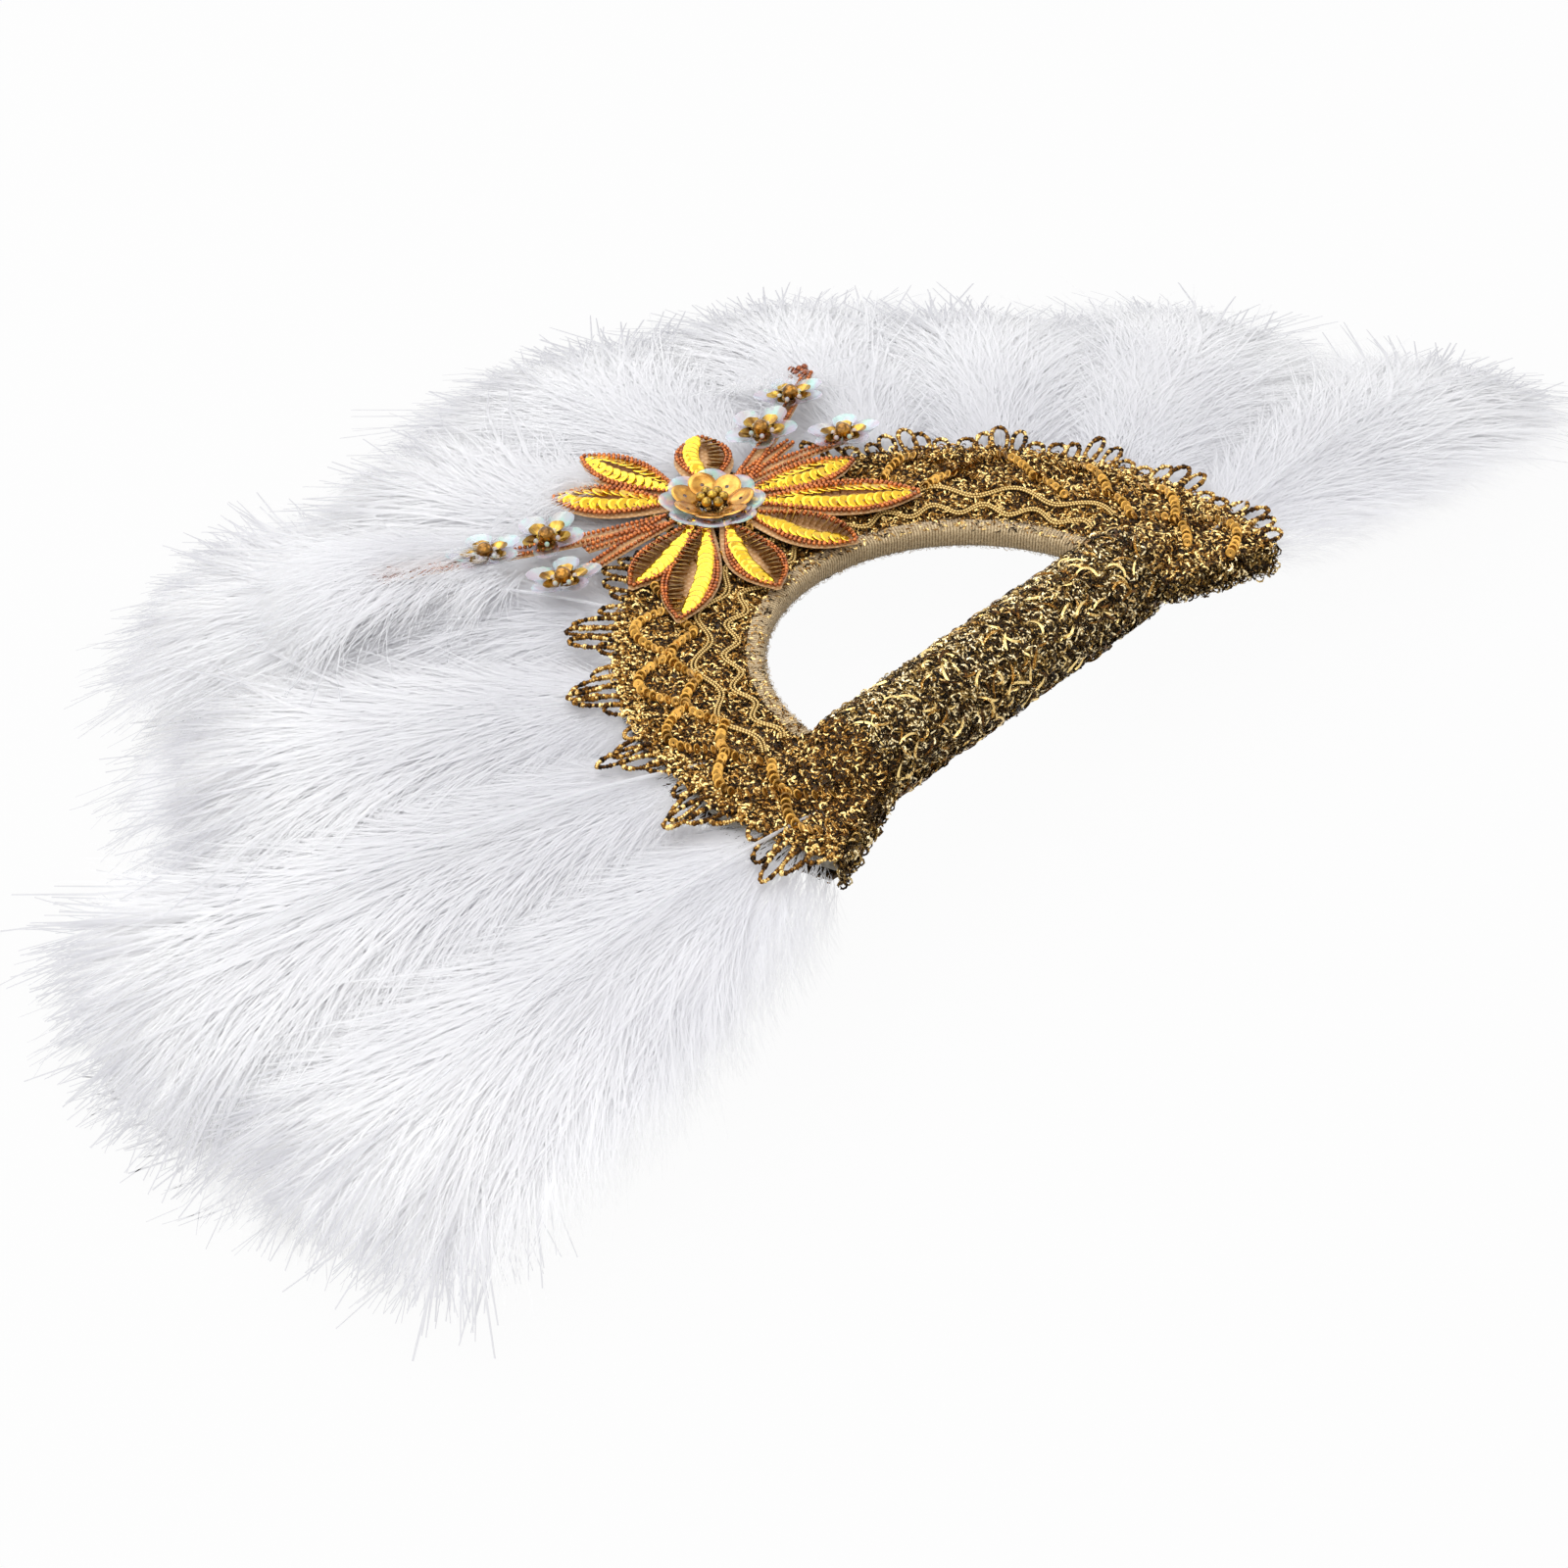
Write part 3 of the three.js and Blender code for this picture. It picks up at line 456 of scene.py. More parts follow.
FOAM = Grained(
    "cream foam", "handle_foam", ((0.35, "#C9BC98"), (0.65, "#E3D8B9")), 0.8, (0.9, 0.9), 4.0, relief=(0.4, 0.2)
)


class Socket(Enum):
    """Kinds of input of a Geometry Nodes tree."""

    GEOMETRY = "NodeSocketGeometry"
    NUMBER = "NodeSocketFloat"
    COUNT = "NodeSocketInt"
    PLACE = "NodeSocketVector"
    PATTERN = "NodeSocketCollection"
    FINISH = "NodeSocketMaterial"


def new_tree(title: str, numbers: Sequence[str], **others: Socket) -> tuple[Tree, dict[str, Feed]]:
    """Starts a Geometry Nodes tree.

    Args:
        title: Name of the tree.
        numbers: Names of its plain number inputs.
        others: Names and kinds of its other inputs, with _ for a space.

    Returns:
        The tree, and its inputs by name.
    """
    tree = bpy.data.node_groups.new(title, "GeometryNodeTree")
    tree.interface.new_socket("Geometry", in_out="OUTPUT", socket_type=Socket.GEOMETRY.value)
    inputs = {
        "Geometry": Socket.GEOMETRY, **{name: Socket.NUMBER for name in numbers}, **others, "Finish": Socket.FINISH
    }
    for name, kind in inputs.items():
        tree.interface.new_socket(name.replace("_", " "), in_out="INPUT", socket_type=kind.value)
    entry = tree.nodes.new("NodeGroupInput")
    return tree, {socket.name: socket for socket in entry.outputs if socket.name}


def close_tree(tree: Tree, geometry: Feed, finish: Feed) -> Tree:
    """Ends a tree in real, smooth, dressed geometry.

    Args:
        tree: The tree.
        geometry: What it has made.
        finish: Its finish input.

    Returns:
        The tree.
    """
    real = add_node(tree, "GeometryNodeRealizeInstances", {0: geometry})
    smooth = add_node(tree, "GeometryNodeSetShadeSmooth", {0: real})
    dressed = add_node(tree, "GeometryNodeSetMaterial", {0: smooth, "Material": finish})
    add_node(tree, "NodeGroupOutput", {"Geometry": dressed})
    return tree


def planted(tree: Tree, given: Mapping[str, Feed], points: Feed, choice: Feed, rotation: Feed, scale: Feed) -> Node:
    """Plants the shapes of the tree's pattern on points.

    Args:
        tree: The tree.
        given: Its inputs.
        points: Where they go.
        choice: Number of the shape at each point.
        rotation: How each is turned.
        scale: Its size.

    Returns:
        The last node.
    """
    kinds = add_node(
        tree, "GeometryNodeCollectionInfo", {0: given["Pattern"], "Separate Children": True, "Reset Children": True}
    )
    feeds = {0: points, 2: kinds, 3: True, 4: choice, "Rotation": rotation, "Scale": scale}
    return add_node(tree, "GeometryNodeInstanceOnPoints", feeds)


def planted_row(
    tree: Tree, given: Mapping[str, Feed], points: Feed, turn: Feed, lean: Feed, scale: Feed,
    tones: Mapping[str | int, Feed]
) -> Tree:
    """Plants leaning shapes, each with a tone of its own, and ends the tree.

    Args:
        tree: The tree.
        given: Its inputs.
        points: Where they go.
        turn: How each is turned.
        lean: How each then leans, in radians about its own axes.
        scale: Its size.
        tones: Lowest and highest tone and their seed.

    Returns:
        The tree.
    """
    put = partial(add_node, tree)
    tilt = put("FunctionNodeEulerToRotation", {0: lean})
    tilted = put("FunctionNodeRotateRotation", {0: turn, 1: tilt}, rotation_space="LOCAL")
    choice = put(RANDOM, {4: 0, 5: 99, "Seed": given["Seed"]}, data_type="INT").outputs[2]
    shapes = planted(tree, given, points, choice, tilted, scale)
    tone = put(RANDOM, tones, data_type="FLOAT").outputs[1]
    toned = put(STORE, {0: shapes, "Name": "tone", "Value": tone}, **ON_INSTANCE)
    return close_tree(tree, toned, given["Finish"])


# How barbs vary, keep inside the plume's outline and lie on what is under them, in shares and metres.
BARB_HABITS = {
    "rarity": 8.0, "unevenness": 0.22, "overreach": 0.8, "least fringe": 2 * MM, "side fringe": 0.35, "bend": 0.24,
    "least ahead": 0.25, "least aside": 0.4, "shortest": 4 * MM, "loose from": 0.06, "wobble": (0.08, 0.08, 0.08),
    "flatness": (1.0, 1.0, 0.15), "press": -0.85
}
# Number of fine barbs in the pattern, which the loose strands follow, and height of the shaft's arch in its middle.
FINE_BARBS = 4
ARCH_SHARE = 0.25


def barb_tree() -> Tree:
    """Builds the tree that grows a plume's shaft and barbs on a line.

    Returns:
        The tree.
    """
    numbers = ["Length", "Root angle", "Tip angle", "Angle scatter", "Lift", "Lift scatter", "Ripple", "Ripple size"]
    numbers += ["Crowding", "Tuft", "Tuft size", "Spread", "Half width", "Fringe", "Roll", "Droop", "Floor"]
    numbers += ["Vane start", "Shaft radius", "Shaft lift"]
    numbers += ["Ring reach", "Flower reach", "Flower stretch", "Ceiling", "Ceiling slope"]
    places = {"Ring_middle": Socket.PLACE, "Flower_middle": Socket.PLACE}
    counts = {"Barbs": Socket.COUNT, "Seed": Socket.COUNT, "Pattern": Socket.PATTERN}
    tree, given = new_tree("plume barbs", numbers, **places, **counts)
    given |= BARB_HABITS
    put = partial(add_node, tree)
    run = partial(run_steps, tree, given)
    spine = put("GeometryNodeMeshToCurve", {0: given["Geometry"]})
    given["index"] = put("GeometryNodeInputIndex")
    run({"order": (MATH, "DIVIDE", "index", "Barbs"), "share": (MATH, "POWER", "order", "Crowding")})
    share = given["share"]
    given["factor"] = put(MAP_RANGE, {0: share, 3: given["Vane start"], 4: 1.0})
    seat = put("GeometryNodeSampleCurve", {"Curves": spine, "Factor": given["factor"]}, mode="FACTOR")
    roots = put("GeometryNodePoints", {"Count": given["Barbs"], "Position": seat.outputs["Position"]})
    given["tangent"] = seat.outputs["Tangent"]
    run({"later": (MATH, "ADD", "Seed", 100.0)})
    for prefix, seed in (("luck", "Seed"), ("whim", "later")):
        chance = put(RANDOM, {**EVERY_WAY, "Seed": given[seed]}, data_type="FLOAT_VECTOR").outputs[0]
        given[prefix] = chance
        apart = put("ShaderNodeSeparateXYZ", {0: chance})
        given |= {f"{prefix} {axis}": apart.outputs[axis] for axis in range(3)}
    given["lean"] = put(MAP_RANGE, {0: share, 3: given["Root angle"], 4: given["Tip angle"]})
    curves = {
        "swell": ((0.0, 0.5), (1.0, 0.72), (0.25, 0.78), (0.6, 1.0), (0.88, 0.95)),
        "vane": ((0.0, 0.5), (1.0, 0.28), (0.22, 0.86), (0.6, 1.0), (0.8, 0.92), (0.93, 0.66))
    }
    for name, (first, last, *between) in curves.items():
        given[name] = put("ShaderNodeFloatCurve", {"Value": share})
        mapping = given[name].mapping
        mapping.curves[0].points[0].location = first
        mapping.curves[0].points[1].location = last
        for place in between:
            mapping.curves[0].points.new(*place)
        mapping.update()
    given["span"] = put("GeometryNodeCurveLength", {0: spine})
    run({"clump": (MATH, "DIVIDE", 1.0, "Tuft size")})
    given["tufts"] = put(NOISE, {"Scale": given["clump"], "Detail": 1.0}).outputs[0]
    given["bunch"] = put(MAP_RANGE, {0: given["tufts"], 1: 0.38, 2: 0.62})
    length_steps = {
        "parity": (MATH, "MODULO", "index", 2.0), "side": (MATH, "MULTIPLY_ADD", "parity", 2.0, -1.0),
        "stray": (MATH, "MULTIPLY", "whim 0", "Angle scatter"),
        "angle": (MATH, "MULTIPLY_ADD", "luck 0", "lean", "stray"),
        "lift": (MATH, "MULTIPLY_ADD", "luck 1", "Lift scatter", "Lift"), "lucky": (MATH, "MAXIMUM", "luck 2", 0.0),
        "rare": (MATH, "POWER", "lucky", "rarity"), "even": (MATH, "MULTIPLY_ADD", "luck 2", "unevenness", 1.0),
        "vary": (MATH, "MULTIPLY_ADD", "rare", "overreach", "even"), "full": (MATH, "MULTIPLY", "swell", "Length"),
        "above mean": (MATH, "MULTIPLY_ADD", "tufts", 2.0, -1.0),
        "tuft": (MATH, "MULTIPLY_ADD", "above mean", "Tuft", "vary"), "wanted": (MATH, "MULTIPLY", "full", "tuft"),
        "spread": (MATH, "MULTIPLY", "vane", "Spread"), "off": (MATH, "MULTIPLY", "spread", "luck 0"),
        "forth": (MATH, "COSINE", "angle"), "out": (MATH, "SINE", "angle"), "few": (MATH, "MULTIPLY", "rare", "bunch"),
        "past": (MATH, "MULTIPLY_ADD", "few", "Fringe", "least fringe"), "left": (MATH, "SUBTRACT", 1.0, "factor"),
        "to end": (MATH, "MULTIPLY_ADD", "left", "span", "past"), "out size": (MATH, "ABSOLUTE", "out"),
        "onward": (MATH, "MULTIPLY_ADD", "out size", "bend", "forth"),
        "ahead share": (MATH, "MAXIMUM", "onward", "least ahead"),
        "end room": (MATH, "DIVIDE", "to end", "ahead share"), "beside past": (MATH, "MULTIPLY", "past", "side fringe"),
        "flank": (MATH, "MULTIPLY_ADD", "vane", "Half width", "beside past"), "off size": (MATH, "ABSOLUTE", "off"),
        "to side": (MATH, "SUBTRACT", "flank", "off size"), "side share": (MATH, "MAXIMUM", "out size", "least aside"),
        "side room": (MATH, "DIVIDE", "to side", "side share"), "room": (MATH, "MINIMUM", "end room", "side room"),
        "fitted": (MATH, "MINIMUM", "wanted", "room"), "reach": (MATH, "MAXIMUM", "fitted", "shortest"),
        "chosen": (MATH, "GREATER_THAN", "few", "loose from"), "outer": (MATH, "GREATER_THAN", "wanted", "end room"),
        "loose": (MATH, "MULTIPLY", "chosen", "outer"), "mirror": (MATH, "MULTIPLY", "reach", "side"),
        "flip": (MATH, "MULTIPLY", "mirror", -1.0)
    }
    run(length_steps)
    aim_steps = {
        "level": (VECTOR, "CROSS_PRODUCT", tuple(UP), "tangent"), "across": (VECTOR, "NORMALIZE", "level"),
        "above": (VECTOR, "CROSS_PRODUCT", "tangent", "across"), "rise": (MATH, "SINE", "lift"),
        "ahead": (VECTOR, "SCALE", "tangent", None, None, "forth"),
        "aside": (VECTOR, "SCALE", "across", None, None, "out"),
        "raised": (VECTOR, "SCALE", "above", None, None, "rise"), "flat": (VECTOR, "ADD", "ahead", "aside"),
        "aim": (VECTOR, "ADD", "flat", "raised"), "face": (VECTOR, "MULTIPLY_ADD", "luck", "wobble", "above"),
        "beside": (VECTOR, "SCALE", "across", None, None, "off"), "curve": (MATH, "MULTIPLY", "luck 0", "luck 0"),
        "depth": (MATH, "MULTIPLY", "curve", "Roll"), "deeper": (VECTOR, "SCALE", "above", None, None, "depth"),
        "away": (VECTOR, "SUBTRACT", "beside", "deeper")
    }
    run(aim_steps)
    turn = put(TURN, {0: given["aim"], 1: given["face"]}, primary_axis="X", secondary_axis="Z")
    seated = put("GeometryNodeSetPosition", {0: roots, "Offset": given["away"]})
    size = put("ShaderNodeCombineXYZ", {0: given["reach"], 1: given["flip"], 2: given["reach"]})
    given["choice"] = put(RANDOM, {4: 0, 5: FINE_BARBS - 1, "Seed": given["Seed"]}, data_type="INT").outputs[2]
    run({"kind": (MATH, "MULTIPLY_ADD", "loose", FINE_BARBS, "choice")})
    barbs = planted(tree, given, seated, given["kind"], turn, size)
    for name, value in (("out", share), ("loose", given["loose"])):
        barbs = put(STORE, {0: barbs, "Name": name, "Value": value}, **ON_INSTANCE)
    real = put("GeometryNodeRealizeInstances", {0: barbs})
    given["along"] = put("GeometryNodeInputNamedAttribute", {0: "tip"}, data_type="FLOAT")
    run({"finer": (MATH, "DIVIDE", 1.0, "Ripple size")})
    given["wind"] = put(NOISE, {"Scale": given["finer"], "Detail": 1.0}).outputs[1]
    given["here"] = put("GeometryNodeInputPosition")
    sway_steps = {
        "centred": (VECTOR, "SUBTRACT", "wind", (0.5, 0.5, 0.5)), "swing": (MATH, "MULTIPLY", "along", "Ripple"),
        "level wave": (VECTOR, "MULTIPLY", "centred", "flatness"),
        "ripple": (VECTOR, "SCALE", "level wave", None, None, "swing"), "square": (MATH, "MULTIPLY", "along", "along"),
        "sink": (MATH, "MULTIPLY", "square", "Droop"), "sunk": (MATH, "MULTIPLY", "sink", -1.0)
    }
    run(sway_steps)
    given["fall"] = put("ShaderNodeCombineXYZ", {2: given["sunk"]})
    given["narrow"] = put("ShaderNodeCombineXYZ", {0: given["Flower stretch"], 1: 1.0})
    run({"shift": (VECTOR, "ADD", "ripple", "fall"), "moved": (VECTOR, "ADD", "here", "shift")})
    parts = put("ShaderNodeSeparateXYZ", {0: given["moved"]}).outputs
    given["height"] = parts[2]
    press_steps = {
        "plan": (VECTOR, "MULTIPLY", "moved", (1, 1, 0)), "apart": (VECTOR, "SUBTRACT", "plan", "Flower middle"),
        "squeezed": (VECTOR, "MULTIPLY", "apart", "narrow")
    }
    run(press_steps)
    given["radius"] = put(VECTOR, {0: given["plan"], 1: given["Ring middle"]}, operation="DISTANCE").outputs["Value"]
    given["off flower"] = put(VECTOR, {0: given["squeezed"]}, operation="LENGTH").outputs["Value"]
    land_steps = {
        "clear": (MATH, "SUBTRACT", "radius", "Ring reach"), "beyond": (MATH, "SUBTRACT", "off flower", "Flower reach"),
        "nearest": (MATH, "MINIMUM", "clear", "beyond"), "free": (MATH, "MAXIMUM", "nearest", 0.0),
        "ceiling": (MATH, "MULTIPLY_ADD", "free", "Ceiling slope", "Ceiling"),
        "excess": (MATH, "SUBTRACT", "height", "ceiling"), "over": (MATH, "MAXIMUM", "excess", 0.0),
        "pressed": (MATH, "MULTIPLY_ADD", "over", "press", "height"), "landed": (MATH, "MAXIMUM", "pressed", "Floor")
    }
    run(land_steps)
    spot = put("ShaderNodeCombineXYZ", {0: parts[0], 1: parts[1], 2: given["landed"]})
    loose = put("GeometryNodeSetPosition", {0: real, "Position": spot})
    given["where"] = put("GeometryNodeSplineParameter").outputs[0]
    taper = put(MAP_RANGE, {0: given["where"], 3: 1.0, 4: 0.2})
    shaft_steps = {
        "rest": (MATH, "SUBTRACT", 1.0, "where"), "arch": (MATH, "MULTIPLY", "rest", "where"),
        "crown": (MATH, "MULTIPLY", "arch", "Shaft lift")
    }
    run(shaft_steps)
    proud = put("ShaderNodeCombineXYZ", {2: given["crown"]})
    bowed = put("GeometryNodeSetPosition", {0: spine, "Offset": proud})
    ring = put("GeometryNodeCurvePrimitiveCircle", {0: 6, "Radius": given["Shaft radius"]})
    shaft = put("GeometryNodeCurveToMesh", {0: bowed, 1: ring, "Scale": taper, "Fill Caps": True})
    whole = put("GeometryNodeJoinGeometry", {0: loose})
    fill(tree, whole, {0: shaft})
    return close_tree(tree, whole, given["Finish"])


def scatter_tree() -> Tree:
    """Builds the tree that strews small curls over a surface.

    Returns:
        The tree.
    """
    numbers = ["Density", "Smallest", "Largest", "Tilt", "Palest"]
    tree, given = new_tree("strewn curls", numbers, Seed=Socket.COUNT, Pattern=Socket.PATTERN)
    put = partial(add_node, tree)
    feeds = {0: given["Geometry"], "Density": given["Density"], "Seed": given["Seed"]}
    spots = put("GeometryNodeDistributePointsOnFaces", feeds)
    other = put(MATH, {0: given["Seed"], 1: 7.0}, operation="ADD")
    chance = put(RANDOM, {**EVERY_WAY, "Seed": other}, data_type="FLOAT_VECTOR").outputs[0]
    turn = put(TURN, {0: spots.outputs["Normal"], 1: chance}, primary_axis="Z", secondary_axis="X")
    lean = put(VECTOR, {0: chance, 3: given["Tilt"]}, operation="SCALE")
    size = put(RANDOM, {2: given["Smallest"], 3: given["Largest"], "Seed": other}, data_type="FLOAT").outputs[1]
    return planted_row(tree, given, spots, turn, lean, size, {2: 0.0, 3: given["Palest"], "Seed": 3})


def beading_tree() -> Tree:
    """Builds the tree that sews beads or sequins along lines.

    Returns:
        The tree.
    """
    numbers = ["Spacing", "Size", "Size scatter", "Tilt", "Roll", "Turn scatter", "Darkest", "Palest"]
    tree, given = new_tree("sewn row", numbers, Seed=Socket.COUNT, Pattern=Socket.PATTERN)
    put = partial(add_node, tree)
    line = put("GeometryNodeMeshToCurve", {0: given["Geometry"]})
    steps = put("GeometryNodeResampleCurve", {0: line, "Length": given["Spacing"]}, mode="LENGTH")
    tangent = put("GeometryNodeInputTangent")
    turn = put(TURN, {0: tangent, 1: tuple(UP)}, primary_axis="X", secondary_axis="Z")
    chance = put(RANDOM, {**EVERY_WAY, "Seed": given["Seed"]}, data_type="FLOAT_VECTOR").outputs[0]
    stray = put(VECTOR, {0: chance, 3: given["Turn scatter"]}, operation="SCALE")
    set_by = put("ShaderNodeCombineXYZ", {0: given["Roll"], 1: given["Tilt"]})
    lean = put(VECTOR, {0: set_by, 1: stray}, operation="ADD")
    given["taper"] = put("GeometryNodeInputNamedAttribute", {0: "taper"}, data_type="FLOAT")
    given["luck"] = put("ShaderNodeSeparateXYZ", {0: chance}).outputs[2]
    size_steps = {
        "vary": (MATH, "MULTIPLY_ADD", "luck", "Size scatter", 1.0), "whole": (MATH, "MULTIPLY", "taper", "Size"),
        "size": (MATH, "MULTIPLY", "whole", "vary")
    }
    run_steps(tree, given, size_steps)
    tones = {2: given["Darkest"], 3: given["Palest"], "Seed": given["Seed"]}
    return planted_row(tree, given, steps, turn, lean, given["size"], tones)


def cord_tree() -> Tree:
    """Builds the tree that lays a round cord along lines.

    Returns:
        The tree.
    """
    tree, given = new_tree("laid cord", ["Radius", "Step"], Sides=Socket.COUNT)
    put = partial(add_node, tree)
    line = put("GeometryNodeMeshToCurve", {0: given["Geometry"]})
    steps = put("GeometryNodeResampleCurve", {0: line, "Length": given["Step"]}, mode="LENGTH")
    where = put("GeometryNodeSplineParameter")
    gauge = put(MATH, {0: where.outputs["Length"], 1: 1 / MM}, operation="MULTIPLY")
    measured = put(STORE, {0: steps, "Name": "along", "Value": gauge}, **ON_POINT)
    toned = put(STORE, {0: measured, "Name": "tone", "Value": 0.5}, **ON_POINT)
    ring = put("GeometryNodeCurvePrimitiveCircle", {0: given["Sides"], "Radius": given["Radius"]})
    cord = put("GeometryNodeCurveToMesh", {0: toned, 1: ring, "Fill Caps": True})
    return close_tree(tree, cord, given["Finish"])


def mesh_object(name: str, points: Sequence[Vector], faces: Faces = (), edges: Sequence[tuple[int, int]] = ()) -> Piece:
    """Makes a mesh object at the origin.

    Args:
        name: Name of the object.
        points: Places in metres.
        faces: Faces by point number.
        edges: Loose edges by point number.

    Returns:
        The object, in the scene.
    """
    mesh = bpy.data.meshes.new(name)
    mesh.from_pydata([tuple(point) for point in points], list(edges), list(faces))
    mesh.update()
    made = bpy.data.objects.new(name, mesh)
    bpy.context.scene.collection.objects.link(made)
    return made


def set_values(made: Piece, name: str, values: Sequence[float]) -> None:
    """Stores a number at each point of a mesh.

    Args:
        made: The object.
        name: Name of the attribute.
        values: One number for each point.
    """
    made.data.attributes.new(name, "FLOAT", "POINT").data.foreach_set("value", list(values))


def lines_object(
    name: str, lines: Iterable[Sequence[Vector]], tapers: Iterable[Sequence[float]] | None = None
) -> Piece:
    """Makes a mesh of open lines for a tree to work on.

    Args:
        name: Name of the object.
        lines: Points of each line.
        tapers: Size share at each point of each line, full size where left out.

    Returns:
        The object.
    """
    points: list[Vector] = []
    edges: list[tuple[int, int]] = []
    for line in lines:
        first = len(points)
        points.extend(line)
        edges.extend((number, number + 1) for number in range(first, len(points) - 1))
    made = mesh_object(name, points, edges=edges)
    shares = [share for taper in tapers for share in taper] if tapers is not None else [1.0] * len(points)
    set_values(made, "taper", shares)
    return made


def grown(name: str, base: Piece, tree: Tree, **inputs: Any) -> Piece:
    """Runs a tree on a base and keeps its result as a plain mesh.

    Args:
        name: Name of the result.
        base: The object that the tree works on; it is used up.
        tree: The tree.
        inputs: Values by input name, with _ for a space.

    Returns:
        The result, at the origin.
    """
    modifier = base.modifiers.new("grow", "NODES")
    modifier.node_group = tree
    given = {key.replace("_", " "): value for key, value in inputs.items()}
    for item in tree.interface.items_tree:
        if item.in_out == "INPUT" and item.name in given:
            modifier[item.identifier] = given[item.name]
    result = flattened(name, base)
    bpy.data.objects.remove(base)
    return result


def flattened(name: str, base: Piece) -> Piece:
    """Copies an object with its modifiers applied.

    Args:
        name: Name of the copy.
        base: The object; its modifiers are removed.

    Returns:
        The copy.
    """
    bpy.context.view_layer.update()
    depsgraph = bpy.context.evaluated_depsgraph_get()
    mesh = bpy.data.meshes.new_from_object(
        base.evaluated_get(depsgraph), preserve_all_data_layers=True, depsgraph=depsgraph
    )
    base.modifiers.clear()
    mesh.name = name
    made = bpy.data.objects.new(name, mesh)
    bpy.context.scene.collection.objects.link(made)
    return made


def solidified(base: Piece, thickness: float) -> Piece:
    """Gives a sheet a thickness on its inner side.

    Args:
        base: The sheet, facing outwards; it is used up.
        thickness: Thickness in metres.

    Returns:
        The solid sheet, under the same name.
    """
    modifier = base.modifiers.new("wall", "SOLIDIFY")
    modifier.thickness = thickness
    modifier.offset = -1.0
    name = base.name
    base.name = f"{name}_flat"
    made = flattened(name, base)
    bpy.data.objects.remove(base)
    return made


def joined(name: str, pieces: Sequence[Piece]) -> Piece:
    """Joins meshes into one piece.

    Args:
        name: Name of the piece.
        pieces: The meshes; they are used up.

    Returns:
        The piece.
    """
    with bpy.context.temp_override(active_object=pieces[0], selected_editable_objects=list(pieces)):
        bpy.ops.object.join()
    pieces[0].name = name
    pieces[0].data.name = name
    return pieces[0]


def adopt(piece: Piece, finish: Finish, *nodes: str) -> Piece:
    """Dresses a finished piece, unless its tree has done so, and ties it to the frame.

    Args:
        piece: The piece, in place.
        finish: Its finish.
        nodes: Solids that it stands for.

    Returns:
        The piece.
    """
    if len(piece.data.materials) == 0:
        piece.data.materials.append(finish.material())
    piece.data.shade_smooth()
    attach(piece, BODY)
    if nodes:
        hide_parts(*nodes)
    LOG.info("%s: %d faces, %s", piece.name, len(piece.data.polygons), finish.title)
    return piece


def pattern(name: str, shapes: Sequence[Shape]) -> Stock:
    """Keeps small shapes in a collection of their own, for a tree to plant.

    Args:
        name: Name of the collection.
        shapes: Points and faces of each shape.

    Returns:
        The collection.
    """
    made = bpy.data.collections.new(f"{PATTERNS}_{name}")
    for number, (points, faces) in enumerate(shapes):
        shape = mesh_object(f"{PATTERNS}_{name}_{number}", points, faces)
        bpy.context.scene.collection.objects.unlink(shape)
        made.objects.link(shape)
    bpy.context.scene.collection.children.link(made)
    return made


def clear_patterns() -> None:
    """Removes every shape that was only there to be planted."""
    for made in [one for one in bpy.data.collections if one.name.startswith(PATTERNS)]:
        for shape in list(made.objects):
            bpy.data.objects.remove(shape)
        bpy.data.collections.remove(made)


def ring_faces(rings: int, sides: int) -> Faces:
    """Joins rings of points with quads.

    Args:
        rings: Number of rings, from the middle outwards.
        sides: Number of points in each.

    Returns:
        The faces, looking up.
    """
    faces: Faces = []
    for low in range(0, (rings - 1) * sides, sides):
        for step in range(sides):
            after = (step + 1) % sides
            faces.append((low + step, low + sides + step, low + sides + after, low + after))
    return faces


def ball(sides: int = 8, rings: int = 5) -> Shape:
    """Makes a bead of unit radius with few faces.

    Args:
        sides: Steps around.
        rings: Steps from pole to pole.

    Returns:
        Points and faces.
    """
    points = [Vector((0, 0, -1))]
    faces: Faces = []
    for ring in range(1, rings):
        fall = math.pi * ring / rings
        for step in range(sides):
            turn = math.tau * step / sides
            points.append(Vector((math.sin(fall) * math.cos(turn), math.sin(fall) * math.sin(turn), -math.cos(fall))))
    points.append(Vector((0, 0, 1)))
    top = len(points) - 1
    for step in range(sides):
        after = (step + 1) % sides
        faces.append((0, 1 + after, 1 + step))
        for ring in range(rings - 2):
            low = 1 + ring * sides
            faces.append((low + step, low + after, low + sides + after, low + sides + step))
        last = top - sides
        faces.append((last + step, last + after, top))
    return points, faces


def sequin(cup: float = 0.14, hole: float = 0.16, sides: int = 14) -> Shape:
    """Makes a stamped disc of unit radius with a hole and a shallow cup.

    Args:
        cup: Height of the rim over the hole.
        hole: Radius of the hole.
        sides: Steps around.

    Returns:
        Points and faces.
    """
    profile = [(hole, 0.0), (0.6, 0.5 * cup), (0.92, cup), (1.0, cup - 0.09)]
    turns = [math.tau * step / sides for step in range(sides)]
    points = []
    for radius, height in profile:
        points += [Vector((radius * math.cos(turn), radius * math.sin(turn), height)) for turn in turns]
    return points, ring_faces(len(profile), sides)


